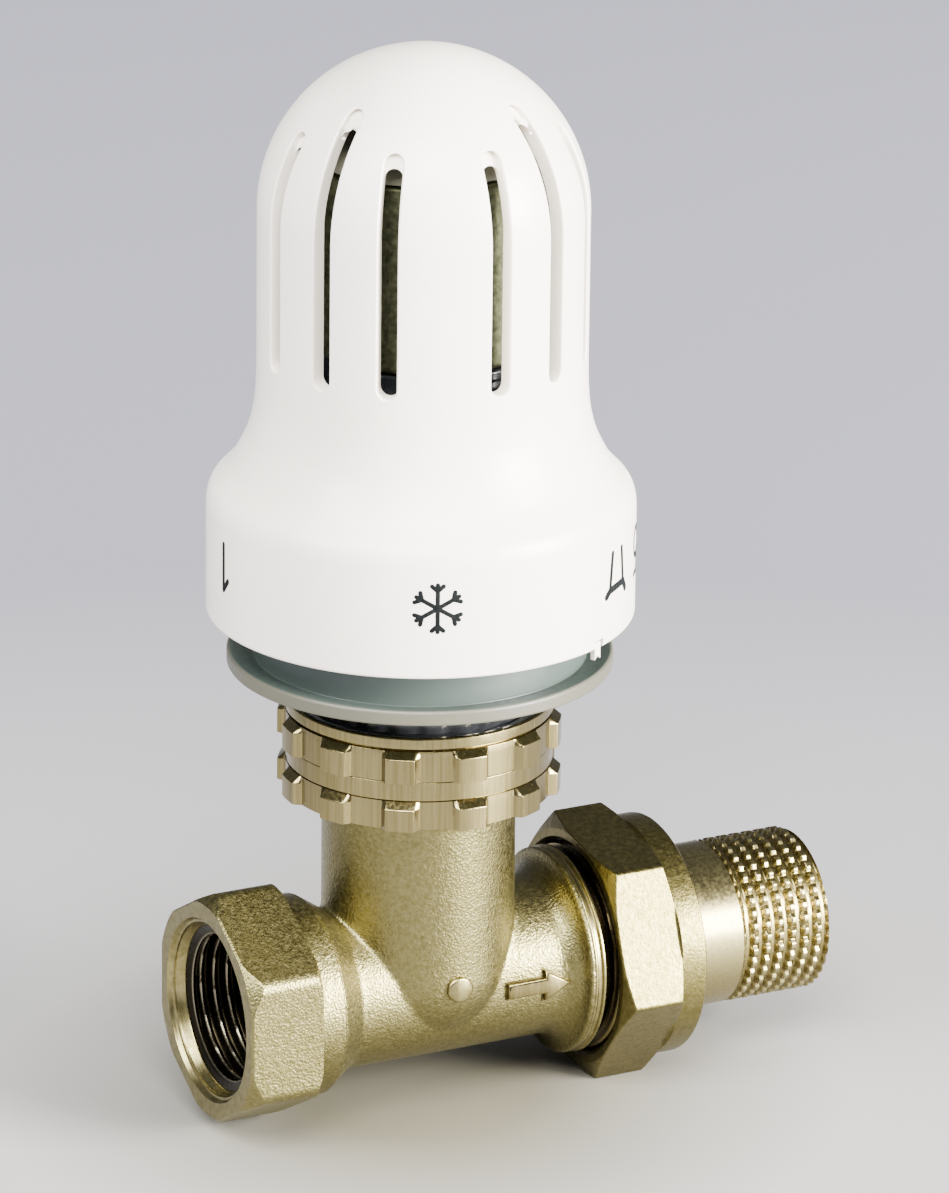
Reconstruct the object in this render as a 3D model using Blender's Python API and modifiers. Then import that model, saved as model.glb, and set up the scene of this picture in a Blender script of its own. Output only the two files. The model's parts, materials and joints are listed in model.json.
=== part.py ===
"""A straight thermostatic radiator valve, built as separate pieces.

The origin is the centre of the inlet's end face. +X runs along the pipe from the
inlet to the radiator, and +Z is up, along the axis of the thermostatic head.
Dimensions are in millimetres, and the helpers turn them into Blender's metres.
"""

import math

import bmesh
import bpy

MM = 0.001

# Driving dimensions
LENGTH = 83.0  # inlet face to the end of the tailpiece
HEAD_X = 29.2  # inlet face to the head's axis
GAP = 0.3  # clearance between pieces that touch
STEPS = 32  # facets round a large turned piece
INNER_STEPS = 24  # facets round a piece inside the valve or the head
FINE_STEPS = 16  # facets round a small one

# Pipe-side dimensions, along X from the inlet face
INLET_HEX_FLATS = 27.0
INLET_HEX_END = 9.8
FACE_R = 14.0
CORNER_CHAMFER = 2.0  # length of the spanner chamfer at a corner of the inlet hexagon
SOCKET_R = 9.3
SOCKET_MOUTH_R = 11.7
SOCKET_DEPTH = 13.0
COLLAR_R = 12.7
COLLAR_END = 13.4
INLET_SHOULDER_END = 16.85  # where the cone behind the collar meets the tube
TUBE_R = 10.24
OUTLET_FLANGE_R = 13.3
OUTLET_FLANGE_X = 47.2
OUTLET_UNDERCUT_R = 12.2
OUTLET_THREAD_R = 13.2
OUTLET_END = 58.2
UNION_FLATS = 30.0
UNION_START = 50.6
UNION_MOUTH_R = 14.1
UNION_HEX_END = 59.0
UNION_END = 62.5
UNION_RING_R = 15.4
TAIL_START = 59.8
TAIL_R = 10.45
TAIL_BORE_R = 6.9
TAIL_THREAD_X = 70.3
TAIL_RIDGES = 7

# Valve neck, seat and cartridge, heights above the pipe's axis
NECK_R = 12.13
BULB_Z = 3.0
BULB_DEPTH = 11.2
CROWN_R = 14.9  # the M30 ring under the head
CROWN_TOP = 35.0
SEAT_Z = 3.0
SEAT_LIP = 0.8
SEAT_R = 4.5
CHAMBER_R = 8.8
CARTRIDGE_BORE_R = 9.3
CARTRIDGE_Z = 14.3
SPINDLE_R = 1.6
STROKE = 3.5  # how far the head pushes the spindle
SPINDLE_TOP = CROWN_TOP + 11.8 + STROKE

# Head
NUT_BOTTOM, NUT_TOP = 25.75, 37.7
NUT_LOWER_BAND = (25.75, 29.4)
NUT_UPPER_BAND = (32.0, 36.1)
NUT_BORE_R = 15.3
RETAINER_Z = 36.65  # the wire ring between the lock nut and the collar
NUT_R = 16.75
TOOTH_R = 17.7
TOOTH_HALF_ROOT = 8.2
TOOTH_HALF_TIP = 5.8
TEETH = 12
COLLAR_OUTER_R = 14.7
BASE_BOTTOM = 42.1
BASE_R = 24.0
BASE_SLEEVE_R = 20.7
BASE_SLEEVE_TOP = 59.0
CAP_RIM_Z = 49.1
CAP_BAND_R = 26.55
CAP_BAND_TOP = 62.0
CAP_TUBE_R = 20.35
CAP_INNER_R = 16.8
DOME_Z = 100.5
DOME_INNER_R = 18.4
SLOT_WIDTH = 2.4
SLOT_BOTTOM = 82.4
SLOT_TOP = 112.2
TALL_SLOT_TOP = 116.0
GUIDE_R = 5.4  # bore in the base that the plunger slides in
SENSOR_R = 13.8
SENSOR_BOTTOM, SENSOR_TOP = 83.5, 107.0

# Angles about the head's axis, degrees from +X towards +Y
FRONT = -116.76  # the side that the snowflake mark faces
FIRST_SLOT_GROUP = FRONT - 36.8
SLOT_SPREAD = 25.0
FIRST_TOOTH = FRONT - 7.2
LIMIT_TAB = FRONT + 56.0
UNION_HEX_TURN = 39.0

# Colour, roughness and metallic value of each finish
FINISHES = {
    "nickel_cast": ((0.55, 0.51, 0.42), 0.42, 1.0),
    "nickel_bright": ((0.74, 0.70, 0.63), 0.16, 1.0),
    "brass": ((0.72, 0.55, 0.28), 0.32, 1.0),
    "steel": ((0.60, 0.60, 0.62), 0.28, 1.0),
    "spring_steel": ((0.48, 0.48, 0.50), 0.35, 1.0),
    "white_plastic": ((0.86, 0.86, 0.83), 0.22, 0.0),
    "grey_plastic": ((0.36, 0.42, 0.42), 0.45, 0.0),
    "black_plastic": ((0.02, 0.02, 0.022), 0.45, 0.0),
    "sensor_metal": ((0.42, 0.44, 0.38), 0.38, 0.9),
    "rubber": ((0.03, 0.03, 0.03), 0.7, 0.0),
}


def clear_scene():
    for old in list(bpy.data.objects):
        bpy.data.objects.remove(old, do_unlink=True)


def new_collection(name):
    collection = bpy.data.collections.new(name)
    bpy.context.scene.collection.children.link(collection)
    return collection


def new_material(name, colour, roughness, metallic):
    material = bpy.data.materials.new(name)
    material.use_nodes = True
    shader = material.node_tree.nodes["Principled BSDF"]
    shader.inputs["Base Color"].default_value = (*colour, 1.0)
    shader.inputs["Roughness"].default_value = roughness
    shader.inputs["Metallic"].default_value = metallic
    material.diffuse_color = (*colour, 1.0)
    return material


clear_scene()
PARTS = new_collection("thermostatic_radiator_valve")
CUTTERS = new_collection("cutters")


def add(name, data, x=0.0, z=0.0, along_x=False, spin=0.0):
    """Places a mesh or curve. Local +Z is turned onto +X when along_x is set."""
    piece = bpy.data.objects.new(name, data)
    piece.location = (x * MM, 0.0, z * MM)
    piece.rotation_euler = (0.0, math.pi / 2 if along_x else 0.0, math.radians(spin))
    PARTS.objects.link(piece)
    return piece


def finish(piece, finish_name):
    """Gives the piece a material of its own in the named finish, with smooth shading."""
    colour, roughness, metallic = FINISHES[finish_name]
    piece.data.materials.clear()
    piece.data.materials.append(new_material(piece.name, colour, roughness, metallic))
    return piece


def as_tool(piece):
    """Moves a piece to the cutters: it shapes other pieces and isn't one itself."""
    PARTS.objects.unlink(piece)
    CUTTERS.objects.link(piece)
    piece.hide_render = True
    piece.display_type = "WIRE"
    return piece


def combine(piece, operation, *tools):
    for tool in tools:
        step = piece.modifiers.new(f"{operation} {tool.name}"[:60], "BOOLEAN")
        step.operation = operation
        step.solver = "EXACT"
        step.object = as_tool(tool) if tool.name in PARTS.objects else tool
    return piece


def turned(name, profile, x=0.0, along_x=False, steps=STEPS, seam=0.0):
    """A solid of revolution from (radius, height) points, outer side top to bottom.

    The seam turns the profile's plane, so that a tool's facets miss those of its piece.
    """
    side, front = math.cos(math.radians(seam)) * MM, math.sin(math.radians(seam)) * MM
    points = [(radius * side, radius * front, height * MM) for radius, height in profile]
    edges = [(i, i + 1) for i in range(len(points) - 1)]
    if profile[0][0] > 0.0:
        edges.append((len(points) - 1, 0))
    mesh = bpy.data.meshes.new(name)
    mesh.from_pydata(points, edges, [])
    piece = add(name, mesh, x, along_x=along_x)
    screw = piece.modifiers.new("Turn", "SCREW")
    screw.steps = screw.render_steps = steps
    screw.use_merge_vertices = True
    screw.merge_threshold = 0.00001
    screw.use_smooth_shade = True
    return piece


def arc(centre_r, centre_z, radius, start, end, count=4, radius_z=None):
    """Points on an arc or ellipse of a profile, with both ends."""
    radius_z = radius if radius_z is None else radius_z
    angles = [math.radians(start + (end - start) * i / count) for i in range(count + 1)]
    return [
        (centre_r + radius * math.cos(angle), centre_z + radius_z * math.sin(angle))
        for angle in angles
    ]


def mesh_of(curve_name, curve):
    """The closed mesh that a curve makes, with its caps welded."""
    guide = bpy.data.objects.new(curve_name, curve)
    bpy.context.scene.collection.objects.link(guide)
    depsgraph = bpy.context.evaluated_depsgraph_get()
    mesh = bpy.data.meshes.new_from_object(guide.evaluated_get(depsgraph))
    mesh.name = curve_name
    bpy.data.objects.remove(guide, do_unlink=True)
    cage = bmesh.new()
    cage.from_mesh(mesh)
    bmesh.ops.remove_doubles(cage, verts=cage.verts, dist=0.00001)
    cage.to_mesh(mesh)
    cage.free()
    return mesh


def outline_mesh(name, outline, thickness):
    """A flat outline given thickness along local Z, half to each side."""
    curve = bpy.data.curves.new(name, "CURVE")
    curve.dimensions = "2D"
    curve.fill_mode = "BOTH"
    curve.extrude = thickness * MM / 2
    spline = curve.splines.new("POLY")
    spline.points.add(len(outline) - 1)
    for point, (x, y) in zip(spline.points, outline):
        point.co = (x * MM, y * MM, 0.0, 1.0)
    spline.use_cyclic_u = True
    return mesh_of(name, curve)


def prism(name, outline, low, high, x=0.0, along_x=False, spin=0.0):
    """An outline extruded from low to high, along Z or, with along_x, along X."""
    mesh = outline_mesh(name, outline, high - low)
    middle = (low + high) / 2
    if along_x:
        return add(name, mesh, middle, along_x=True, spin=spin)
    return add(name, mesh, x, middle, spin=spin)


def hexagon(flats, turn=0.0):
    corner_r = flats / math.sqrt(3)
    angles = [math.radians(turn + 60 * i) for i in range(6)]
    return [(corner_r * math.cos(angle), corner_r * math.sin(angle)) for angle in angles]


def wire(name, points, diameter, x=0.0, closed=False):
    """A round wire through (x, y, z) points."""
    curve = bpy.data.curves.new(name, "CURVE")
    curve.dimensions = "3D"
    curve.bevel_depth = diameter * MM / 2
    curve.bevel_resolution = 2
    curve.use_fill_caps = not closed
    spline = curve.splines.new("POLY")
    spline.points.add(len(points) - 1)
    for point, place in zip(spline.points, points):
        point.co = (*(value * MM for value in place), 1.0)
    spline.use_cyclic_u = closed
    return add(name, curve, x)


def coil(name, radius, diameter, low, high, turns, points_per_turn=8):
    """A compression spring on the head's axis. Its wire stays between low and high."""
    count = turns * points_per_turn
    rise = high - low - diameter
    points = []
    for i in range(count + 1):
        angle = 2 * math.pi * i / points_per_turn
        height = low + diameter / 2 + rise * i / count
        points.append((radius * math.cos(angle), radius * math.sin(angle), height))
    return wire(name, points, diameter, HEAD_X)


def o_ring(name, radius, thickness, height):
    section = arc(radius, height, thickness / 2, 90, -210, 5)
    return turned(name, section, HEAD_X, steps=FINE_STEPS)


# Valve body


def body_neck():
    bulb = arc(0.0, BULB_Z, NECK_R, 0, -90, 6, BULB_DEPTH)
    bulb[-1] = (0.0, BULB_Z - BULB_DEPTH)
    profile = [
        (0.0, CROWN_TOP),
        (CROWN_R - 0.5, CROWN_TOP),
        (CROWN_R, CROWN_TOP - 0.5),
        (CROWN_R, 27.6),
        (12.7, 25.6),
        (NECK_R, 24.4),
        *bulb,
    ]
    return turned("valve_body", profile, HEAD_X)


def body_pipe():
    flare = OUTLET_FLANGE_R - TUBE_R
    outlet_fillet = arc(OUTLET_FLANGE_R, OUTLET_FLANGE_X - flare, flare, 90, 180)
    profile = [
        (0.0, OUTLET_END),
        (OUTLET_THREAD_R - 0.6, OUTLET_END),
        (OUTLET_THREAD_R, OUTLET_END - 0.6),
        (OUTLET_THREAD_R, 51.0),
        (OUTLET_UNDERCUT_R, 50.6),
        (OUTLET_UNDERCUT_R, 49.4),
        (OUTLET_FLANGE_R, 49.2),
        *outlet_fillet,
        (TUBE_R, INLET_SHOULDER_END),
        (COLLAR_R, COLLAR_END),
        (COLLAR_R, INLET_HEX_END - 0.8),
        (0.0, INLET_HEX_END - 0.8),
    ]
    return turned("body_pipe", profile, along_x=True, seam=1.1)


def body_hexagon():
    flats = hexagon(INLET_HEX_FLATS)
    block = prism("inlet_hexagon", flats, -1.0, INLET_HEX_END + 1.0, along_x=True)
    corner_r = INLET_HEX_FLATS / math.sqrt(3)
    rounding = [
        (0.0, INLET_HEX_END),
        (corner_r - 0.7, INLET_HEX_END),
        (corner_r + 0.3, INLET_HEX_END - 0.6),
        (corner_r + 0.3, CORNER_CHAMFER + 0.3),
        (FACE_R, 0.0),
        (0.0, 0.0),
    ]
    return combine(block, "INTERSECT", turned("inlet_rounding", rounding, along_x=True))


def flow_arrow():
    """A raised arrow on the front of the outlet tube, pointing to the radiator."""
    outline = [
        (36.8, -0.8),
        (42.6, -0.8),
        (42.6, -1.9),
        (45.4, 0.0),
        (42.6, 1.9),
        (42.6, 0.8),
        (36.8, 0.8),
    ]
    arrow = add("flow_arrow", outline_mesh("flow_arrow", outline, 3.0))
    arrow.location.y = -9.2 * MM
    arrow.rotation_euler.x = math.pi / 2
    return arrow


def slanted_passage(name, start, end, radius):
    """A drilled passage between two (x, z) points in the pipe's middle plane."""
    run, rise = end[0] - start[0], end[1] - start[1]
    length = math.hypot(run, rise)
    profile = [(0.0, length), (radius, length), (radius, 0.0), (0.0, 0.0)]
    bore = turned(name, profile, steps=INNER_STEPS, seam=5.3)
    bore.location = (start[0] * MM, 0.0, start[1] * MM)
    bore.rotation_euler = (0.0, math.atan2(run, rise), 0.0)
    return bore


def cartridge_bore():
    profile = [
        (0.0, CROWN_TOP + 1.0),
        (CARTRIDGE_BORE_R, CROWN_TOP + 1.0),
        (CARTRIDGE_BORE_R, CARTRIDGE_Z - GAP),
        (CHAMBER_R, CARTRIDGE_Z - GAP),
        (CHAMBER_R, SEAT_Z),
        (SEAT_R + 1.5, SEAT_Z),
        (SEAT_R + 1.5, SEAT_Z + SEAT_LIP),
        (SEAT_R, SEAT_Z + SEAT_LIP),
        (SEAT_R, -7.3),
        (0.0, -7.3),
    ]
    return turned("cartridge_bore", profile, HEAD_X, steps=INNER_STEPS, seam=3.1)


def inlet_bore():
    profile = [
        (0.0, 17.5),
        (6.5, 17.5),
        (6.5, SOCKET_DEPTH + 2.0),
        (SOCKET_R, SOCKET_DEPTH),
        (SOCKET_R, 2.4),
        (SOCKET_MOUTH_R, 0.0),
        (SOCKET_MOUTH_R, -1.0),
        (0.0, -1.0),
    ]
    return turned("inlet_bore", profile, along_x=True, seam=2.3)


def outlet_bore():
    profile = [(0.0, OUTLET_END + 1.0), (6.5, OUTLET_END + 1.0), (6.5, 44.0), (0.0, 44.0)]
    return turned("outlet_bore", profile, along_x=True, steps=INNER_STEPS, seam=4.3)


def valve_body():
    body = body_neck()
    combine(body, "UNION", body_pipe(), body_hexagon(), flow_arrow())
    combine(
        body,
        "DIFFERENCE",
        cartridge_bore(),
        inlet_bore(),
        outlet_bore(),
        slanted_passage("inlet_passage", (12.0, -1.5), (HEAD_X, -3.3), 4.0),
        slanted_passage("outlet_passage", (HEAD_X + 6.8, 6.8), (HEAD_X + 16.8, 1.0), 4.2),
    )
    return finish(body, "nickel_cast")


# Cartridge and spindle


def insert_bonnet():
    """The brass cartridge: spring chamber below, spindle guide, seal chamber above."""
    profile = [
        (4.9, 39.4),
        (9.0, 39.4),
        (9.0, 18.2),
        (7.6, 18.2),
        (7.6, 16.4),
        (9.0, 16.4),
        (9.0, CARTRIDGE_Z),
        (5.4, CARTRIDGE_Z),
        (5.4, 26.0),
        (SPINDLE_R + GAP, 26.0),
        (SPINDLE_R + GAP, 33.4),
        (3.6, 33.4),
        (3.6, 35.6),
        (4.9, 35.6),
    ]
    cartridge = turned("insert_bonnet", profile, HEAD_X, steps=INNER_STEPS)
    head = prism("bonnet_hexagon", hexagon(17.0), CROWN_TOP + GAP, 39.4, HEAD_X)
    bore = [(0.0, 40.0), (7.0, 40.0), (7.0, 34.0), (0.0, 34.0)]
    combine(head, "DIFFERENCE", turned("bonnet_hexagon_bore", bore, HEAD_X, steps=INNER_STEPS))
    return finish(combine(cartridge, "UNION", head), "brass")


def gland_nut():
    top = BASE_BOTTOM - 0.4
    profile = [
        (0.0, top),
        (6.6, top),
        (6.6, 39.7),
        (4.6, 39.7),
        (4.6, 36.0),
        (0.0, 36.0),
    ]
    bore_r = SPINDLE_R + GAP
    nut = turned("gland_nut", profile, HEAD_X, steps=FINE_STEPS)
    flats = prism("gland_flats", hexagon(11.0, 30.0), 35.0, 43.0, HEAD_X)
    bore = [(0.0, 43.0), (bore_r, 43.0), (bore_r, 35.0), (0.0, 35.0)]
    combine(nut, "INTERSECT", flats)
    combine(nut, "DIFFERENCE", turned("gland_bore", bore, HEAD_X, steps=FINE_STEPS))
    return finish(nut, "brass")


def bonnet_oring():
    return finish(o_ring("bonnet_oring", 8.45, 1.0, 17.3), "rubber")


def gland_oring():
    return finish(o_ring("gland_oring", 2.6, 1.3, 34.5), "rubber")


def spring_seat():
    profile = [
        (5.1, CARTRIDGE_Z + 1.3),
        (5.1, CARTRIDGE_Z + 0.1),
        (SPINDLE_R + GAP, CARTRIDGE_Z + 0.1),
        (SPINDLE_R + GAP, CARTRIDGE_Z + 1.3),
    ]
    return finish(turned("spring_seat", profile, HEAD_X, steps=FINE_STEPS), "steel")


def return_spring():
    spring = coil("return_spring", 3.9, 0.9, 15.9, 24.6, 4)
    return finish(spring, "spring_steel")


def valve_spindle():
    bottom = 5.6
    groove_z = 24.8
    profile = [
        (0.0, SPINDLE_TOP),
        (SPINDLE_R - 0.6, SPINDLE_TOP - 0.1),
        (SPINDLE_R, SPINDLE_TOP - 0.8),
        (SPINDLE_R, groove_z + 1.0),
        (1.15, groove_z + 1.0),
        (1.15, groove_z),
        (SPINDLE_R, groove_z),
        (SPINDLE_R, bottom + 0.3),
        (SPINDLE_R - 0.3, bottom),
        (0.0, bottom),
    ]
    return finish(turned("valve_spindle", profile, HEAD_X, steps=FINE_STEPS), "steel")


def spindle_circlip():
    """An open ring in the spindle's groove, wide enough for the spring to push on."""
    outline = []
    for i in range(15):
        angle = math.radians(25 + 310 * i / 14)
        outline.append((4.6 * math.cos(angle), 4.6 * math.sin(angle)))
    for i in range(15):
        angle = math.radians(335 - 310 * i / 14)
        outline.append((1.45 * math.cos(angle), 1.45 * math.sin(angle)))
    clip = prism("spindle_circlip", outline, 24.95, 25.65, HEAD_X)
    return finish(clip, "spring_steel")


def disc_holder():
    profile = [
        (4.0, 13.6),
        (4.0, 12.0),
        (6.6, 12.0),
        (6.6, 9.9),
        (SPINDLE_R + GAP, 9.9),
        (SPINDLE_R + GAP, 13.6),
    ]
    return finish(turned("disc_holder", profile, HEAD_X, steps=INNER_STEPS), "brass")


def valve_disc():
    profile = [
        (6.0, 9.6),
        (6.2, 9.4),
        (6.2, 7.8),
        (6.0, 7.6),
        (SPINDLE_R + GAP, 7.6),
        (SPINDLE_R + GAP, 9.6),
    ]
    return finish(turned("valve_disc", profile, HEAD_X, steps=INNER_STEPS), "rubber")


def disc_nut():
    nut = prism("disc_nut", hexagon(5.8), 6.0, 7.3, HEAD_X)
    bore_r = SPINDLE_R + GAP
    bore = [(0.0, 8.0), (bore_r, 8.0), (bore_r, 5.0), (0.0, 5.0)]
    combine(nut, "DIFFERENCE", turned("disc_nut_bore", bore, HEAD_X, steps=FINE_STEPS))
    return finish(nut, "steel")


# Head: base, collar and lock nut


def base_ring():
    """The grey disc, the upright sleeve that carries the knob's thread, and the guide."""
    profile = [
        (BASE_SLEEVE_R, BASE_SLEEVE_TOP),
        (BASE_SLEEVE_R, BASE_BOTTOM + 1.3),
        (BASE_R - 0.2, BASE_BOTTOM + 1.9),
        (BASE_R, BASE_BOTTOM + 1.7),
        (BASE_R, BASE_BOTTOM + 0.2),
        (BASE_R - 0.2, BASE_BOTTOM),
        (GUIDE_R, BASE_BOTTOM),
        (GUIDE_R, 58.0),
        (GUIDE_R + 1.8, 58.0),
        (GUIDE_R + 1.8, BASE_BOTTOM + 2.3),
        (18.6, BASE_BOTTOM + 2.3),
        (18.6, BASE_SLEEVE_TOP),
    ]
    return finish(turned("base_ring", profile, HEAD_X), "grey_plastic")


def collar():
    """The collet that sits on the body's crown. Its ribs show above the lock nut."""
    profile = [
        (COLLAR_OUTER_R, BASE_BOTTOM - GAP),
        (COLLAR_OUTER_R, RETAINER_Z + 0.9),
        (COLLAR_OUTER_R - 0.8, RETAINER_Z + 0.9),
        (COLLAR_OUTER_R - 0.8, RETAINER_Z - 0.9),
        (COLLAR_OUTER_R, RETAINER_Z - 0.9),
        (COLLAR_OUTER_R, CROWN_TOP + GAP),
        (10.3, CROWN_TOP + GAP),
        (10.3, BASE_BOTTOM - GAP),
    ]
    piece = turned("collar", profile, HEAD_X)
    outline = [(-16.0, -0.9), (16.0, -0.9), (16.0, 0.9), (-16.0, 0.9)]
    slots = []
    for i in range(4):
        turn = FRONT + 22.5 + 45 * i
        slots.append(prism(f"collar_slot_{i}", outline, 38.5, 43.0, HEAD_X, spin=turn))
    return finish(combine(piece, "DIFFERENCE", *slots), "black_plastic")


def toothed_outline():
    """The lock nut's outline through a band of teeth."""
    tooth = (
        (-TOOTH_HALF_ROOT, NUT_R),
        (-TOOTH_HALF_TIP, TOOTH_R),
        (TOOTH_HALF_TIP, TOOTH_R),
        (TOOTH_HALF_ROOT, NUT_R),
    )
    outline = []
    for i in range(TEETH):
        middle = FIRST_TOOTH + 360 / TEETH * i
        for turn, radius in tooth:
            angle = math.radians(middle + turn)
            outline.append((radius * math.cos(angle), radius * math.sin(angle)))
    return outline


def lock_nut():
    """The nut's turned core, with a groove inside for the wire ring, and its toothed bands."""
    profile = [
        (NUT_R - 0.3, NUT_TOP),
        (NUT_R, NUT_TOP - 0.3),
        (NUT_R, NUT_UPPER_BAND[1] + 0.3),
        (NUT_R - 0.5, NUT_UPPER_BAND[1] + 0.2),
        (NUT_R - 0.5, NUT_UPPER_BAND[1] - 0.4),
        (NUT_R - 0.1, NUT_UPPER_BAND[1] - 0.6),
        (NUT_R - 0.1, NUT_BOTTOM + 0.3),
        (NUT_R - 0.5, NUT_BOTTOM),
        (NUT_BORE_R, NUT_BOTTOM),
        (NUT_BORE_R, RETAINER_Z - 0.85),
        (NUT_BORE_R + 0.65, RETAINER_Z - 0.75),
        (NUT_BORE_R + 0.65, RETAINER_Z + 0.75),
        (NUT_BORE_R, NUT_TOP),
    ]
    nut = turned("lock_nut", profile, HEAD_X)
    bore = [(0.0, 40.0), (16.0, 40.0), (16.0, 24.0), (0.0, 24.0)]
    top, bottom = NUT_UPPER_BAND[0] + 0.2, NUT_LOWER_BAND[1] - 0.2
    ring = [(0.0, top), (NUT_R, top), (NUT_R, bottom), (0.0, bottom)]
    outline = toothed_outline()
    toothed = prism("lower_teeth", outline, *NUT_LOWER_BAND, HEAD_X)
    upper = prism("upper_teeth", outline, *NUT_UPPER_BAND, HEAD_X)
    combine(toothed, "UNION", turned("plain_ring", ring, HEAD_X), upper)
    combine(toothed, "DIFFERENCE", turned("lock_nut_bore", bore, HEAD_X))
    return finish(combine(nut, "UNION", toothed), "nickel_bright")


def nut_retaining_ring():
    points = []
    for i in range(21):
        angle = math.radians(FRONT + 190 + 340 * i / 20)
        points.append((14.95 * math.cos(angle), 14.95 * math.sin(angle), RETAINER_Z))
    return finish(wire("nut_retaining_ring", points, 1.2, HEAD_X), "spring_steel")


# Head: plunger and sensor


def plunger():
    profile = [
        (0.0, 71.7),
        (8.6, 71.7),
        (9.0, 71.3),
        (9.0, 69.2),
        (3.2, 69.2),
        (3.2, 61.0),
        (5.0, 60.0),
        (5.0, SPINDLE_TOP + GAP + 0.4),
        (4.6, SPINDLE_TOP + GAP),
        (0.0, SPINDLE_TOP + GAP),
    ]
    return finish(turned("plunger", profile, HEAD_X, steps=FINE_STEPS), "grey_plastic")


def sensor_holder():
    profile = [
        (0.0, 83.2),
        (SENSOR_R, 83.2),
        (SENSOR_R, 72.5),
        (SENSOR_R - 0.5, 72.0),
        (0.0, 72.0),
    ]
    return finish(turned("sensor_holder", profile, HEAD_X, steps=INNER_STEPS), "black_plastic")


def sensor_can():
    profile = [
        (0.0, 103.0),
        (7.0, 103.0),
        (7.0, SENSOR_TOP),
        (SENSOR_R - 0.4, SENSOR_TOP),
        (SENSOR_R, SENSOR_TOP - 0.4),
        (SENSOR_R, SENSOR_BOTTOM + 0.4),
        (SENSOR_R - 0.4, SENSOR_BOTTOM),
        (0.0, SENSOR_BOTTOM),
    ]
    return finish(turned("sensor_can", profile, HEAD_X, steps=INNER_STEPS), "sensor_metal")


def sensor_cap():
    """The pale shoulder on the can, with a well that the over-travel spring sits in."""
    shoulder = arc(10.6, SENSOR_TOP + GAP, 2.8, 90, 0, 3, 2.7)
    profile = [
        (0.0, 104.3),
        (5.8, 104.3),
        (5.8, SENSOR_TOP + 3.0),
        *shoulder,
        (6.7, SENSOR_TOP + GAP),
        (6.7, 103.3),
        (0.0, 103.3),
    ]
    return finish(turned("sensor_cap", profile, HEAD_X, steps=INNER_STEPS), "white_plastic")


def overtravel_spring():
    spring = coil("overtravel_spring", 4.9, 0.9, 104.7, 114.9, 4)
    return finish(spring, "spring_steel")


def spring_retainer():
    profile = [
        (0.0, 116.8),
        (7.4, 116.8),
        (7.4, 115.2),
        (3.7, 115.2),
        (3.7, 112.4),
        (0.0, 112.4),
    ]
    return finish(turned("spring_retainer", profile, HEAD_X, steps=FINE_STEPS), "black_plastic")


# Head: handwheel


def air_slots():
    """Cutters for twelve slots in four groups of three, the middle one of each taller."""
    half = SLOT_WIDTH / 2
    slots = []
    for group in range(4):
        for place in (-1, 0, 1):
            top = SLOT_TOP if place else TALL_SLOT_TOP
            inner = 15.6 if place else 12.6
            outer = 23.0
            upper = arc(0.0, top - half, half, 0, 180, 6)
            lower = arc(0.0, SLOT_BOTTOM + half, half, 180, 360, 6)
            name = f"air_slot_{group}_{place + 1}"
            slot = add(name, outline_mesh(name, upper + lower, outer - inner), HEAD_X)
            angle = math.radians(FIRST_SLOT_GROUP + 90 * group + SLOT_SPREAD * place)
            middle = (inner + outer) / 2
            slot.location.x += middle * MM * math.cos(angle)
            slot.location.y += middle * MM * math.sin(angle)
            slot.rotation_euler = (math.pi / 2, 0.0, angle + math.pi / 2)
            slots.append(slot)
    return slots


def knob_cap():
    outer_dome = arc(0.0, DOME_Z, CAP_TUBE_R, 90, 0, 8)
    outer_dome[0] = (0.0, DOME_Z + CAP_TUBE_R)
    inner_start = math.degrees(math.acos(CAP_INNER_R / DOME_INNER_R))
    inner_dome = arc(0.0, DOME_Z, DOME_INNER_R, inner_start, 90, 4)
    inner_dome[-1] = (0.0, DOME_Z + DOME_INNER_R)
    flare = [(20.4, 79.0), (20.8, 75.0), (21.9, 71.2), (23.6, 68.0), (25.3, 65.9), (26.2, 64.4)]
    inner_flare = [(24.2, 62.5), (23.2, 65.0), (21.6, 67.0), (19.5, 70.0), (17.9, 74.0)]
    notch = [(25.3, -0.9), (28.0, -0.9), (28.0, 0.9), (25.3, 0.9)]
    profile = [
        *outer_dome,
        *flare,
        (CAP_BAND_R, CAP_BAND_TOP),
        (CAP_BAND_R, CAP_RIM_Z + 0.5),
        (CAP_BAND_R - 0.5, CAP_RIM_Z),
        (24.2, CAP_RIM_Z),
        *inner_flare,
        (CAP_INNER_R, 80.0),
        *inner_dome,
    ]
    cap = turned("knob_cap", profile, HEAD_X)
    low, high = CAP_RIM_Z - 1.0, CAP_RIM_Z + 1.15
    tab_notch = prism("tab_notch", notch, low, high, HEAD_X, spin=LIMIT_TAB)
    return finish(combine(cap, "DIFFERENCE", tab_notch, *air_slots()), "white_plastic")


def knob_sleeve():
    """The sleeve in the cap: a skirt that runs on the base's thread, and a tube for the sensor."""
    profile = [
        (16.2, 82.0),
        (16.2, 70.6),
        (22.6, 64.2),
        (22.6, 50.2),
        (21.1, 50.2),
        (21.1, 62.8),
        (14.3, 68.8),
        (14.3, 82.0),
    ]
    return finish(turned("knob_sleeve", profile, HEAD_X), "black_plastic")


def limit_tab():
    """The range limiter's tab, hung in a notch of the cap's rim, with two small prongs."""
    top, bottom = CAP_RIM_Z + 0.85, CAP_RIM_Z - 1.45
    outline = [
        (-0.6, bottom),
        (-0.2, bottom + 0.35),
        (0.2, bottom + 0.35),
        (0.6, bottom),
        (0.6, top),
        (-0.6, top),
    ]
    tab = add("limit_tab", outline_mesh("limit_tab", outline, 0.7), HEAD_X)
    angle = math.radians(LIMIT_TAB)
    middle = CAP_BAND_R - 0.55
    tab.location.x += middle * MM * math.cos(angle)
    tab.location.y += middle * MM * math.sin(angle)
    tab.rotation_euler = (math.pi / 2, 0.0, angle + math.pi / 2)
    return finish(tab, "white_plastic")


# Radiator side


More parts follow.
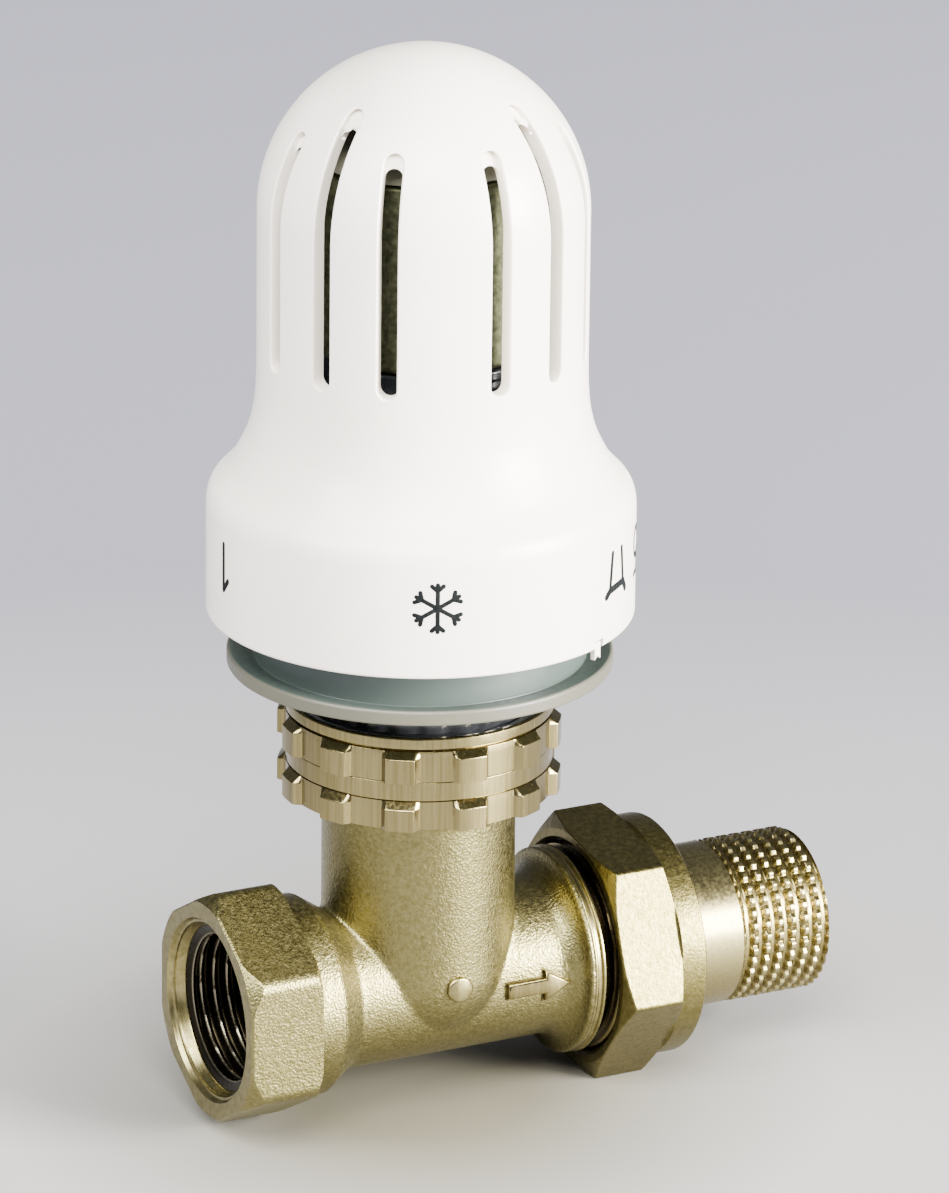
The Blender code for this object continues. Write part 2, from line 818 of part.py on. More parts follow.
def tail_seal():
    start, end = OUTLET_END + GAP, TAIL_START - GAP
    profile = [(12.0, end), (12.0, start), (8.2, start), (8.2, end)]
    return finish(turned("tail_seal", profile, along_x=True, steps=INNER_STEPS), "rubber")


def tailpiece():
    pitch = (LENGTH - TAIL_THREAD_X) / TAIL_RIDGES
    ridges = []
    for i in range(TAIL_RIDGES):
        end = LENGTH - pitch * i
        ridges.append((TAIL_R, end - 0.3))
        ridges.append((TAIL_R, end - pitch * 0.55))
        ridges.append((TAIL_R - 0.6, end - pitch * 0.8))
    profile = [
        (TAIL_BORE_R, LENGTH),
        (TAIL_R - 0.5, LENGTH),
        *ridges,
        (TAIL_R, TAIL_THREAD_X - 0.3),
        (TAIL_R, TAIL_START + 1.7),
        (12.0, TAIL_START + 1.6),
        (12.0, TAIL_START),
        (TAIL_BORE_R, TAIL_START),
    ]
    return finish(turned("tailpiece", profile, along_x=True, steps=INNER_STEPS), "nickel_cast")


def union_nut():
    corner_r = UNION_FLATS / math.sqrt(3)
    flats = hexagon(UNION_FLATS, UNION_HEX_TURN)
    nut = prism("union_nut", flats, UNION_START - 1.0, UNION_HEX_END + 1.0, along_x=True)
    rounding = [
        (0.0, UNION_HEX_END),
        (corner_r - 1.2, UNION_HEX_END),
        (corner_r + 0.3, UNION_HEX_END - 1.0),
        (corner_r + 0.3, UNION_START + 0.9),
        (UNION_FLATS / 2 + 0.4, UNION_START),
        (0.0, UNION_START),
    ]
    ring = [
        (0.0, UNION_END),
        (UNION_RING_R - 0.5, UNION_END),
        (UNION_RING_R, UNION_END - 0.5),
        (UNION_RING_R, UNION_HEX_END - 0.5),
        (0.0, UNION_HEX_END - 0.5),
    ]
    bore = [
        (0.0, UNION_END + 1.0),
        (TAIL_R + 0.4, UNION_END + 1.0),
        (TAIL_R + 0.4, TAIL_START + 1.6 + GAP),
        (OUTLET_THREAD_R + GAP, TAIL_START + 1.6 + GAP),
        (OUTLET_THREAD_R + GAP, UNION_START + 0.6),
        (UNION_MOUTH_R, UNION_START),
        (UNION_MOUTH_R, UNION_START - 1.0),
        (0.0, UNION_START - 1.0),
    ]
    combine(nut, "INTERSECT", turned("union_rounding", rounding, along_x=True, seam=1.7))
    combine(nut, "UNION", turned("union_ring", ring, along_x=True, seam=2.9))
    combine(nut, "DIFFERENCE", turned("union_bore", bore, along_x=True, seam=0.6))
    return finish(nut, "nickel_cast")


def moving_frame(name, parent=None, x=0.0):
    """An empty on a joint's axis, which carries the pieces that move with that joint."""
    frame = bpy.data.objects.new(name, None)
    frame.empty_display_size = 0.01
    frame.parent = parent
    frame.location.x = x * MM
    PARTS.objects.link(frame)
    return frame


def ride(frame, at_x, *pieces):
    """Parents pieces to a frame whose origin stands at at_x on the pipe's axis."""
    for piece in pieces:
        piece.parent = frame
        piece.location.x -= at_x * MM


valve_body()
insert_bonnet()
gland_nut()
bonnet_oring()
gland_oring()
spring_seat()
return_spring()

pin_frame = moving_frame("pin_travel_axis", x=HEAD_X)
ride(pin_frame, HEAD_X, valve_spindle(), spindle_circlip())
ride(pin_frame, HEAD_X, disc_holder(), valve_disc(), disc_nut())

head_frame = moving_frame("head_lift_axis", x=HEAD_X)
ride(head_frame, HEAD_X, base_ring(), collar(), nut_retaining_ring())
nut_frame = moving_frame("lock_nut_axis", head_frame)
ride(nut_frame, HEAD_X, lock_nut())
carrier_frame = moving_frame("setpoint_axis", head_frame)
ride(carrier_frame, HEAD_X, plunger())
sensor_frame = moving_frame("sensor_axis", carrier_frame)
ride(sensor_frame, HEAD_X, sensor_holder(), sensor_can(), sensor_cap())
knob_frame = moving_frame("knob_axis", carrier_frame)
ride(knob_frame, HEAD_X, knob_cap(), knob_sleeve(), limit_tab())
ride(knob_frame, HEAD_X, spring_retainer(), overtravel_spring())

tail_frame = moving_frame("tail_axis")
ride(tail_frame, 0.0, tailpiece(), tail_seal())
union_frame = moving_frame("union_nut_axis", tail_frame)
ride(union_frame, 0.0, union_nut())
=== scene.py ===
"""The looks of a thermostatic radiator valve: fine meshes, finishes, light and camera.

Lengths are in millimetres until a mesh is made. The head stands on the Z axis at
x = HEAD_X, and the pipe lies on the X axis.
"""

import json
import math

import bmesh
import bpy
import numpy as np
from mathutils import Matrix, Vector


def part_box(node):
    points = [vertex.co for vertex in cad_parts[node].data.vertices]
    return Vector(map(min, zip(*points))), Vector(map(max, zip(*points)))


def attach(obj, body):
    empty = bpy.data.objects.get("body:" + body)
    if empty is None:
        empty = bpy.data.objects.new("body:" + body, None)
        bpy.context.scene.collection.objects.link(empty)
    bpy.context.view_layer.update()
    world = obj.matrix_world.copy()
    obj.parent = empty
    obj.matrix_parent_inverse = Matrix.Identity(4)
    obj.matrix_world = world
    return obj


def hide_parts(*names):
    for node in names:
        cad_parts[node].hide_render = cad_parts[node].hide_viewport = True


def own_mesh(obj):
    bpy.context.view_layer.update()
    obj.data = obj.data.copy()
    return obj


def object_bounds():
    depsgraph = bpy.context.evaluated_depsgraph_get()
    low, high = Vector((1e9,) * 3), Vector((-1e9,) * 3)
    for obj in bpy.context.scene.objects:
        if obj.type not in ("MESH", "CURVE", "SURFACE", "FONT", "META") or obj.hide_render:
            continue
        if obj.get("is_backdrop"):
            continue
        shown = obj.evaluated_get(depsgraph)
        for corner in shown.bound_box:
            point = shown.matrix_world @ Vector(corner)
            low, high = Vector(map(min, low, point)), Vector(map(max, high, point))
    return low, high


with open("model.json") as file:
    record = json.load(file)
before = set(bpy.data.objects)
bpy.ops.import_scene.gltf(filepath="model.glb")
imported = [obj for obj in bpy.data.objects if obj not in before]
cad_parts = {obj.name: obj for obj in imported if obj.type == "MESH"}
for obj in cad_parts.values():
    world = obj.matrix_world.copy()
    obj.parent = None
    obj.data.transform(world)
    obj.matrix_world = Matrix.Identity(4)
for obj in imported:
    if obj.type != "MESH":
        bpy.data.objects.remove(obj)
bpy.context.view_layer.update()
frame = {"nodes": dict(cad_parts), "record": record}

MM = 0.001


def span(node, axis):
    """A CAD node's lowest and highest coordinate along an axis, in millimetres."""
    low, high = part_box(node)
    return low[axis] / MM, high[axis] / MM


def middle(node, axis):
    """A CAD node's middle along an axis, in millimetres."""
    return sum(span(node, axis)) / 2


# Driving dimensions, read from the frame
HEAD_X = middle("valve_spindle", 0)
CAP_RIM, CAP_TOP = span("knob_cap", 2)
CAP_R = span("knob_cap", 1)[1]
NUT_BOTTOM, NUT_TOP = span("lock_nut", 2)
DISC_BOTTOM, SLEEVE_TOP = span("base_ring", 2)
DISC_R = span("base_ring", 1)[1]
CAN_BOTTOM, CAN_TOP = span("sensor_can", 2)
CAN_R = span("sensor_can", 1)[1]
CROWN_TOP = span("valve_body", 2)[1]
OUTLET_END = span("valve_body", 0)[1]
UNION_START, UNION_END = span("union_nut", 0)
TAIL_START, TAIL_END = span("tailpiece", 0)
COLLAR_BOTTOM, COLLAR_TOP = span("collar", 2)
RETAINER_Z = middle("nut_retaining_ring", 2)

# Details that the frame doesn't hold
FRONT = math.radians(-116.76)  # the side of the head that the snowflake faces
CROWN_R = 14.9
NECK_R = 12.13
TUBE_R = 10.24
PIPE_PITCH = 1.814  # a half-inch pipe thread's pitch
CAP_TUBE_R = 20.35
DOME_Z = CAP_TOP - CAP_TUBE_R
CAP_FLARE = [(20.4, 79.0), (20.55, 76.6), (20.8, 74.8), (21.4, 72.4), (22.35, 70.2), (23.5, 68.1)]
CAP_BAND_TOP = 62.0
CAP_INNER_R = 18.25
TAB_ANGLE = FRONT + math.radians(56.0)
SLOT_WIDTH = 2.4
SLOT_BOTTOM = 82.4
SLOT_TOPS = ((112.2, 110.4), (116.0, 113.8), (112.2, 110.4))  # at the surface and right through
SLOT_ROUNDING = 0.35
BLIND_DEPTH = 1.2  # how deep a slot is above the place where it goes through
SLOT_INNER_R = 11.0
FIRST_SLOT_GROUP = FRONT - math.radians(36.8)
SLOT_SPREAD = math.radians(25.0)
# Floor colours by distance from the head's axis: the first is a painted shadow beneath the part, and the
# near, middle and far tones are painted light that sets how bright the floor looks at each distance.
FLOOR_PAINTED_SHADOW = (0.125, 0.115, 0.08)
FLOOR_NEAR = (0.325, 0.315, 0.305)
FLOOR_MIDDLE = (0.226, 0.224, 0.258)
FLOOR_FAR = (0.325, 0.323, 0.38)


# Meshes

def softened(outline, steps=4, closed=False):
    """A chain of (radius, height, size) corners, each replaced by a curve that starts size away.

    The two ends of a chain that isn't closed stay sharp.
    """
    corners = [np.array(corner[:2], float) for corner in outline]
    sizes = [corner[2] if len(corner) > 2 else 0.0 for corner in outline]
    ends = () if closed else (0, len(corners) - 1)
    points = []
    for i, corner in enumerate(corners):
        if not sizes[i] or i in ends:
            points.append(tuple(corner))
            continue
        before = corners[i - 1] - corner
        after = corners[(i + 1) % len(corners)] - corner
        lengths = np.linalg.norm(before), np.linalg.norm(after)
        size = min(sizes[i], 0.48 * min(lengths))
        start = corner + before / max(lengths[0], 1e-9) * size
        end = corner + after / max(lengths[1], 1e-9) * size
        for step in range(steps + 1):
            t = step / steps
            points.append(tuple((1 - t) ** 2 * start + 2 * t * (1 - t) * corner + t**2 * end))
    return points


def smoothed(points, steps=4):
    """A chain of points on a Catmull-Rom curve through the given ones."""
    path = np.array(points, float)
    padded = np.vstack([2 * path[0] - path[1], path, 2 * path[-1] - path[-2]])
    curve = []
    for a, b, c, d in zip(padded, padded[1:], padded[2:], padded[3:]):
        for step in range(steps):
            t = step / steps
            bend, twist = 2 * a - 5 * b + 4 * c - d, 3 * b - a - 3 * c + d
            curve.append(tuple(0.5 * (2 * b + (c - a) * t + bend * t**2 + twist * t**3)))
    curve.append(tuple(path[-1]))
    return curve


def arc(centre_r, centre_z, radius, start, end, count=12, radius_z=None):
    """Points from one angle in degrees to another, on a circle or, with radius_z, an ellipse."""
    radius_z = radius if radius_z is None else radius_z
    angles = [math.radians(start + (end - start) * i / count) for i in range(count + 1)]
    return [(centre_r + radius * math.cos(a), centre_z + radius_z * math.sin(a)) for a in angles]


def cleaned(mesh, crease=32.0):
    """Welds the mesh, turns its faces outwards and shades it smooth up to the crease angle."""
    cage = bmesh.new()
    cage.from_mesh(mesh)
    bmesh.ops.remove_doubles(cage, verts=cage.verts, dist=1e-6)
    bmesh.ops.dissolve_degenerate(cage, edges=cage.edges, dist=1e-7)
    bmesh.ops.recalc_face_normals(cage, faces=cage.faces)
    cage.to_mesh(mesh)
    cage.free()
    mesh.shade_smooth()
    mesh.set_sharp_from_angle(angle=math.radians(crease))
    return mesh


def swept(name, section_at, angles, along_x=False, loop=True):
    """A closed skin through the sections round an axis: the pipe's along_x, else the head's.

    section_at gives the (radius, height) points at an angle. A loop is closed on itself,
    and another chain begins and ends on the axis.
    """
    sections = np.array([section_at(angle) for angle in angles])
    radius, height = sections[..., 0], sections[..., 1]
    side = radius * np.cos(angles)[:, None]
    front = radius * np.sin(angles)[:, None]
    places = (height, side, front) if along_x else (side + HEAD_X, front, height)
    vertices = np.stack(places, axis=-1).reshape(-1, 3) * MM
    turns, count = radius.shape
    faces = []
    for i in range(turns):
        here, there = i * count, (i + 1) % turns * count
        for k in range(count if loop else count - 1):
            m = (k + 1) % count
            faces.append((here + k, here + m, there + m, there + k))
    mesh = bpy.data.meshes.new(name)
    mesh.from_pydata(vertices.tolist(), [], faces)
    return cleaned(mesh)


def turned(name, section, steps=160, along_x=False, loop=True):
    return swept(name, lambda angle: section, circle(steps), along_x, loop)


def circle(steps):
    return np.linspace(0.0, 2 * math.pi, steps, endpoint=False)


def to_mesh(name, cage):
    """The cage's mesh. The cage goes."""
    mesh = bpy.data.meshes.new(name)
    cage.to_mesh(mesh)
    cage.free()
    return mesh


def bridge(cage, below, above):
    """Faces between two rings of vertices."""
    for i in range(len(below)):
        j = (i + 1) % len(below)
        cage.faces.new((below[i], below[j], above[j], above[i]))


def join(name, meshes):
    """One mesh that holds the faces of several."""
    cage = bmesh.new()
    for mesh in meshes:
        cage.from_mesh(mesh)
    return to_mesh(name, cage)


def frozen(obj, crease=32.0):
    """The object's mesh with its modifiers applied. The object goes."""
    depsgraph = bpy.context.evaluated_depsgraph_get()
    mesh = bpy.data.meshes.new_from_object(obj.evaluated_get(depsgraph))
    bpy.data.objects.remove(obj, do_unlink=True)
    mesh.shade_smooth()
    mesh.set_sharp_from_angle(angle=math.radians(crease))
    return mesh


def loose(name, mesh):
    obj = bpy.data.objects.new(name, mesh)
    bpy.context.scene.collection.objects.link(obj)
    return obj


def cut(mesh, cutters):
    """The mesh less the cutters' meshes."""
    body = loose(mesh.name, mesh)
    tools = loose("cutters", join("cutters", cutters))
    step = body.modifiers.new("Cut", "BOOLEAN")
    step.operation = "DIFFERENCE"
    step.solver = "EXACT"
    step.use_self = True
    step.object = tools
    result = frozen(body)
    bpy.data.objects.remove(tools, do_unlink=True)
    return result


def wave(place, pitch, angle):
    """A thread's height from 0 to 1 at a place along its axis, wound on with the angle."""
    return 0.5 - 0.5 * math.cos(2 * math.pi * place / pitch + angle)


def hexagon_radius(angle, flats, rounding):
    """A rounded hexagon's radius at an angle from one of its corners."""
    turn = (angle + math.pi / 6) % (math.pi / 3) - math.pi / 6
    centre = (flats / 2 - rounding) / math.cos(math.pi / 6)
    tangent = math.atan2(rounding / 2, centre + rounding * math.cos(math.pi / 6))
    if abs(turn) < tangent:
        across = centre * math.sin(turn)
        return centre * math.cos(turn) + math.sqrt(rounding**2 - across**2)
    return flats / 2 / math.cos(math.pi / 6 - abs(turn))


def hexagon_angles(first_corner, near_corner=2.6):
    """Angles round a hexagon, closer together within near_corner degrees of its corners."""
    near, side = math.radians(near_corner), math.pi / 3
    angles = []
    for corner in first_corner + side * np.arange(6):
        angles += list(corner + near * np.linspace(-1.0, 1.0, 8, endpoint=False))
        angles += list(corner + np.linspace(near, side - near, 20, endpoint=False))
    return np.array(angles)


def wrapped(name, outlines, radius, low, high, along_x=False, inset=0.06):
    """Low bosses on a round surface, from the radius low to high, with edges rounded by inset.

    Outlines are points of (arc length from the front, height) round the head's axis, or
    along_x of (place along the pipe, arc length up from -Y).
    """
    cage = bmesh.new()
    for outline in outlines:
        points = np.array(outline, float)
        ahead = np.roll(points, -1, axis=0)
        if np.sum(points[:, 0] * ahead[:, 1] - ahead[:, 0] * points[:, 1]) < 0:
            points = points[::-1]
        step = np.roll(points, -1, axis=0) - points
        normals = np.stack([-step[:, 1], step[:, 0]], axis=1)
        normals /= np.maximum(np.linalg.norm(normals, axis=1), 1e-9)[:, None]
        inward = normals + np.roll(normals, 1, axis=0)
        inward /= np.maximum(np.sum(inward**2, axis=1), 0.5)[:, None] / 2
        levels = ((0.0, low), (0.0, high - inset), (0.3 * inset, high - 0.3 * inset), (inset, high))
        rings = []
        for share, level in levels:
            ring = []
            for along, up in points + inward * share:
                if along_x:
                    angle = math.pi + up / radius
                    place = (along, level * math.cos(angle), -level * math.sin(angle))
                else:
                    angle = FRONT + along / radius
                    place = (HEAD_X + level * math.cos(angle), level * math.sin(angle), up)
                ring.append(cage.verts.new(Vector(place) * MM))
            rings.append(ring)
        for below, above in zip(rings, rings[1:]):
            bridge(cage, below, above)
        cage.faces.new(rings[0][::-1])
        cage.faces.new(rings[-1])
    return cleaned(to_mesh(name, cage), 50.0)


def stroke(points, width):
    """Outlines of short round-ended bars along a chain of points, which can follow a round surface."""
    longest = 0.8
    bars = []
    for start, end in zip(points, points[1:]):
        parts = math.ceil(math.dist(start, end) / longest)
        bends = np.linspace(start, end, parts + 1)
        bars += [rounded_bar(*ends, width) for ends in zip(bends, bends[1:])]
    return bars


def rounded_bar(start, end, width, steps=6):
    direction = math.degrees(math.atan2(end[1] - start[1], end[0] - start[0]))
    bar = []
    for (x, y), turn in ((end, direction - 90), (start, direction + 90)):
        bar += arc(x, y, width / 2, turn, turn + 180, steps)
    return bar


# Finishes

class Finish:
    """A material whose shader takes constants on its sockets and textures through nodes."""

    def __init__(self, name, **sockets):
        self.material = bpy.data.materials.new(name)
        self.material.use_nodes = True
        self.tree = self.material.node_tree
        self.shader = self.tree.nodes["Principled BSDF"]
        for socket, value in sockets.items():
            self.shader.inputs[socket.replace("_", " ")].default_value = value

    def node(self, kind, **inputs):
        made = self.tree.nodes.new(kind)
        for socket, value in inputs.items():
            made.inputs[socket.replace("_", " ")].default_value = value
        return made

    def link(self, source, target):
        self.tree.links.new(source, target)

    def place(self, stretch=(1.0, 1.0, 1.0), shift=(0.0, 0.0, 0.0)):
        """Coordinates on the piece, which move with it, scaled along each axis and shifted."""
        coordinate = self.node("ShaderNodeTexCoord")
        mapping = self.node("ShaderNodeMapping", Scale=stretch, Location=shift)
        self.link(coordinate.outputs["Object"], mapping.inputs["Vector"])
        return mapping.outputs["Vector"]

    def noise(self, size, detail=3.0, stretch=(1.0, 1.0, 1.0)):
        """Noise with blotches of about size millimetres, as a value from 0 to 1."""
        texture = self.node("ShaderNodeTexNoise", Scale=1.0 / (size * MM), Detail=detail, Roughness=0.55)
        self.link(self.place(stretch), texture.inputs["Vector"])
        return texture.outputs["Fac"]

    def dimples(self, size):
        """Random dents of about size millimetres."""
        texture = self.node("ShaderNodeTexVoronoi", Scale=1.0 / (size * MM))
        texture.feature = "SMOOTH_F1"
        texture.inputs["Smoothness"].default_value = 0.7
        self.link(self.place(), texture.inputs["Vector"])
        return texture.outputs["Distance"]

    def radial(self, along_x=False):
        """The distance from the pipe's axis with along_x, else from the head's, in millimetres."""
        across = Vector((0.0, 1.0, 1.0) if along_x else (1.0, 1.0, 0.0)) / MM
        shift = (0.0 if along_x else -HEAD_X, 0.0, 0.0)
        length = self.node("ShaderNodeVectorMath")
        length.operation = "LENGTH"
        self.link(self.place(across, shift), length.inputs[0])
        return length.outputs["Value"]

    def spread(self, value, low, high, clip=(0.3, 0.7)):
        """A value between the clip's ends, mapped onto low to high."""
        ends = {"From_Min": clip[0], "From_Max": clip[1], "To_Min": low, "To_Max": high}
        scale = self.node("ShaderNodeMapRange", **ends)
        self.link(value, scale.inputs["Value"])
        return scale.outputs["Result"]

    def colours(self, value, *stops):
        """The base colour, from stops of (value, colour)."""
        ramp = self.node("ShaderNodeValToRGB")
        for i, (position, colour) in enumerate(stops):
            elements = ramp.color_ramp.elements
            element = elements[i] if i < 2 else elements.new(position)
            element.position = position
            element.color = (*colour, 1.0)
        self.link(value, ramp.inputs["Fac"])
        self.link(ramp.outputs["Color"], self.shader.inputs["Base Color"])

    def rough(self, value, low, high):
        self.link(self.spread(value, low, high), self.shader.inputs["Roughness"])

    def bumps(self, *layers):
        """Bump layers of (height value, depth in millimetres, strength), one on another."""
        normal = None
        for height, depth, strength in layers:
            bump = self.node("ShaderNodeBump", Distance=depth * MM, Strength=strength)
            self.link(height, bump.inputs["Height"])
            if normal is not None:
                self.link(normal, bump.inputs["Normal"])
            normal = bump.outputs["Normal"]
        self.link(normal, self.shader.inputs["Normal"])


def blasted_nickel():
    """Nickel over a shot-blasted forging: fine glittering grain with soft cloudy tone."""
    finish = Finish("blasted_nickel", Metallic=1.0)
    finish.colours(finish.noise(0.55, 4.0), (0.32, (0.15, 0.13, 0.046)), (0.68, (0.225, 0.197, 0.085)))
    finish.rough(finish.noise(0.5), 0.26, 0.44)
    finish.bumps(
        (finish.noise(1.3, 2.0), 0.06, 0.4),
        (finish.dimples(0.30), 0.07, 0.8),
        (finish.noise(0.13, 2.0), 0.03, 0.7),
    )
    return finish.material


def forged_nickel():
    """The same plating on smoother forged flats."""
    finish = Finish("forged_nickel", Metallic=1.0)
    finish.colours(finish.noise(0.7, 4.0), (0.32, (0.11, 0.093, 0.027)), (0.68, (0.165, 0.14, 0.052)))
    finish.rough(finish.noise(0.6), 0.28, 0.42)
    finish.bumps((finish.dimples(0.35), 0.045, 0.6), (finish.noise(0.15, 2.0), 0.025, 0.6))
    return finish.material


def turned_nickel():
    """Plating over lathe-turned brass, with fine rings about the pipe's axis."""
    finish = Finish("turned_nickel", Metallic=1.0)
    rings = (1.0, 0.02, 0.02)
    finish.colours(finish.noise(0.9, 3.0), (0.3, (0.18, 0.15, 0.055)), (0.7, (0.30, 0.26, 0.12)))
    finish.rough(finish.noise(0.5, 3.0, rings), 0.20, 0.34)
    finish.bumps((finish.noise(0.12, 2.0, rings), 0.01, 0.6), (finish.noise(0.3, 2.0), 0.01, 0.35))
    return finish.material


def thread_with_painted_shade(name, root_r, crest_r, root, crest):
    """Turned metal with painted shade at a thread's roots, dark there and bright at its crests."""
    finish = Finish(name, Metallic=1.0)
    height = finish.spread(finish.radial(along_x=True), 0.0, 1.0, (root_r, crest_r))
    finish.colours(height, (0.55, root), (1.0, crest))
    finish.rough(finish.noise(0.5), 0.22, 0.36)
    finish.bumps((finish.noise(0.12, 2.0, (1.0, 0.05, 0.05)), 0.008, 0.5))
    return finish.material


def polished_nickel():
    """The lock nut's bright plating, with drawn streaks along the head's axis."""
    finish = Finish("polished_nickel", Metallic=1.0)
    streaks = finish.noise(0.4, 4.0, (1.0, 1.0, 0.03))
    finish.colours(streaks, (0.3, (0.20, 0.162, 0.062)), (0.7, (0.30, 0.248, 0.11)))
    finish.rough(finish.noise(0.35, 3.0, (1.0, 1.0, 0.05)), 0.14, 0.28)
    finish.bumps((finish.noise(0.25, 2.0, (1.0, 1.0, 0.04)), 0.006, 0.5), (finish.noise(0.9), 0.01, 0.4))
    return finish.material


def base_grey():
    """Blue-green grey plastic, paler and warmer at the disc's rim."""
    finish = Finish("base_grey_plastic", IOR=1.5)
    rim = finish.spread(finish.radial(), 0.0, 1.0, (DISC_R - 0.5, DISC_R - 0.1))
    finish.colours(rim, (0.0, (0.052, 0.071, 0.061)), (1.0, (0.082, 0.078, 0.054)))
    finish.rough(finish.noise(0.8), 0.38, 0.5)
    finish.bumps((finish.noise(0.2, 2.0), 0.01, 0.4))
    return finish.material


def plain_brass():
    finish = Finish("turned_brass", Metallic=1.0)
    finish.colours(finish.noise(1.5), (0.3, (0.62, 0.44, 0.18)), (0.7, (0.76, 0.58, 0.28)))
    finish.rough(finish.noise(0.4), 0.22, 0.38)
    finish.bumps((finish.noise(0.12, 2.0, (0.05, 0.05, 1.0)), 0.01, 0.5))
    return finish.material


def steel(name, dark, light, low, high):
    """A plain metal between two tones and between two roughnesses."""
    finish = Finish(name, Metallic=1.0)
    finish.colours(finish.noise(0.9), (0.3, dark), (0.7, light))
    finish.rough(finish.noise(0.3), low, high)
    finish.bumps((finish.noise(0.1, 2.0), 0.008, 0.5))
    return finish.material


def glossy_white():
    """Moulded white plastic with a faint warm cast and a hint of orange peel."""
    finish = Finish("glossy_white_plastic", Subsurface_Weight=0.04, Subsurface_Scale=0.0012, IOR=1.5)
    finish.shader.inputs["Subsurface Radius"].default_value = (1.0, 0.8, 0.6)
    finish.colours(finish.noise(18.0, 2.0), (0.3, (0.835, 0.77, 0.66)), (0.7, (0.86, 0.80, 0.70)))
    finish.rough(finish.noise(4.0), 0.28, 0.38)
    finish.bumps((finish.noise(2.2, 2.0), 0.02, 0.12), (finish.noise(0.25, 2.0), 0.004, 0.25))
    return finish.material


def moulded(name, dark, light, low, high):
    """A moulded plastic or rubber with a fine grain."""
    finish = Finish(name, IOR=1.5)
    finish.colours(finish.noise(3.0), (0.3, dark), (0.7, light))
    finish.rough(finish.noise(0.8), low, high)
    finish.bumps((finish.noise(0.2, 2.0), 0.01, 0.4))
    return finish.material


def sensor_metal():
    """The sensor can's dull drawn aluminium, blotched by handling."""
    finish = Finish("drawn_sensor_metal", Metallic=0.9)
    finish.colours(finish.noise(0.8, 4.0), (0.3, (0.05, 0.055, 0.025)), (0.7, (0.15, 0.155, 0.085)))
    finish.rough(finish.noise(0.6), 0.34, 0.55)
    finish.bumps((finish.noise(0.3, 3.0, (1.0, 1.0, 0.2)), 0.03, 0.5))
    return finish.material


def printed_black():
    finish = Finish("printed_black", IOR=1.2)
    finish.colours(finish.noise(0.6), (0.3, (0.002, 0.003, 0.003)), (0.7, (0.006, 0.007, 0.007)))
    finish.rough(finish.noise(0.3), 0.5, 0.65)
    finish.bumps((finish.noise(0.12), 0.004, 0.4))
    return finish.material


FINISHES = {
    "nickel_cast": blasted_nickel(),
    "nickel_bright": polished_nickel(),
    "brass": plain_brass(),
    "steel": steel("turned_steel", (0.50, 0.50, 0.52), (0.66, 0.66, 0.68), 0.2, 0.34),
    "spring_steel": steel("drawn_spring_wire", (0.38, 0.38, 0.41), (0.55, 0.55, 0.57), 0.25, 0.4),
    "white_plastic": glossy_white(),
    "grey_plastic": base_grey(),
    "black_plastic": moulded("black_plastic", (0.010, 0.011, 0.012), (0.022, 0.023, 0.025), 0.12, 0.22),
    "sensor_metal": sensor_metal(),
    "rubber": moulded("seal_rubber", (0.018, 0.018, 0.018), (0.04, 0.04, 0.04), 0.6, 0.8),
}
FORGED = forged_nickel()
TURNED = turned_nickel()
# Painted shade at the roots of the inlet socket's thread, and at the outlet thread's roots and undercut.
SOCKET_THREAD = thread_with_painted_shade("inlet_thread", 9.85, 9.3, (0.014, 0.011, 0.006), (0.26, 0.23, 0.16))
OUTLET_THREAD = thread_with_painted_shade("outlet_thread", 12.2, 13.2, (0.03, 0.022, 0.01), (0.28, 0.23, 0.10))
# A thin dark line of painted shade round the flow arrow's foot.
ARROW_CREASE_SHADE = steel("painted_shade_at_a_raised_edge", (0.055, 0.045, 0.014), (0.085, 0.07, 0.026), 0.35, 0.5)
# Painted shade at the roots of the tail's thread.
KNURL = thread_with_painted_shade("knurled_nickel", 9.7, 10.42, (0.21, 0.172, 0.066), (0.27, 0.23, 0.105))
PRINT = printed_black()
# Painted shade: a dark material for the cap's inner faces.
CAP_INSIDE_SHADE = moulded("cap_inside_painted_shade", (0.015, 0.015, 0.012), (0.03, 0.03, 0.025), 0.5, 0.65)
# Painted shade: a grey in place of the shoulder's white plastic.
SHOULDER_SHADE = moulded("sensor_shoulder", (0.20, 0.195, 0.13), (0.32, 0.31, 0.22), 0.3, 0.45)


def piece(name, mesh, body, slot, nodes=(), material=None, weighted=True):
    """Puts a mesh in the scene as a piece of the object that stands for some CAD nodes."""
    obj = loose(name, mesh)
    mesh.materials.clear()
    mesh.materials.append(material or FINISHES[slot])
    if weighted:
        weights = obj.modifiers.new("Weights", "WEIGHTED_NORMAL")
        weights.keep_sharp = True
    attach(obj, body)
    if nodes:
        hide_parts(*nodes)
    return obj


# Valve body

def casting():
    """The forged neck, bulb and pipe, blended where they meet."""
    bulb = arc(0.0, 3.0, NECK_R, 0, -90, 24, 11.2)
    bulb[-1] = (0.0, bulb[-1][1])
    neck = [(0.0, 26.3), (12.75, 26.3), (12.7, 25.6), (NECK_R + 0.2, 24.6), (NECK_R, 23.6), *bulb]
    pipe = [(18.3, 0.0), (18.3, 7.3), (15.5, 7.3), (13.6, 11.0), (11.0, 11.0), (11.0, 12.5)]
    pipe += [(13.4, 12.6), (16.85, TUBE_R), *arc(44.2, TUBE_R + 3.0, 3.0, 270, 360)]
    pipe += [(47.9, 13.25), (47.9, 7.5), (43.6, 7.5), (43.6, 0.0)]
    neck = turned("neck", neck, loop=False)
    pipe = turned("pipe", [(radius, x) for x, radius in pipe], along_x=True, loop=False)
    body = loose("casting", join("casting", [neck, pipe]))
    skin = body.modifiers.new("Skin", "REMESH")
    skin.mode = "VOXEL"
    skin.voxel_size = 0.28 * MM
    soft = body.modifiers.new("Blend", "SMOOTH")
    soft.factor = 0.5
    soft.iterations = 8
    mesh = frozen(body, 180.0)
    piece("valve_body_casting", mesh, "valve_body", "nickel_cast", ["valve_body"], weighted=False)


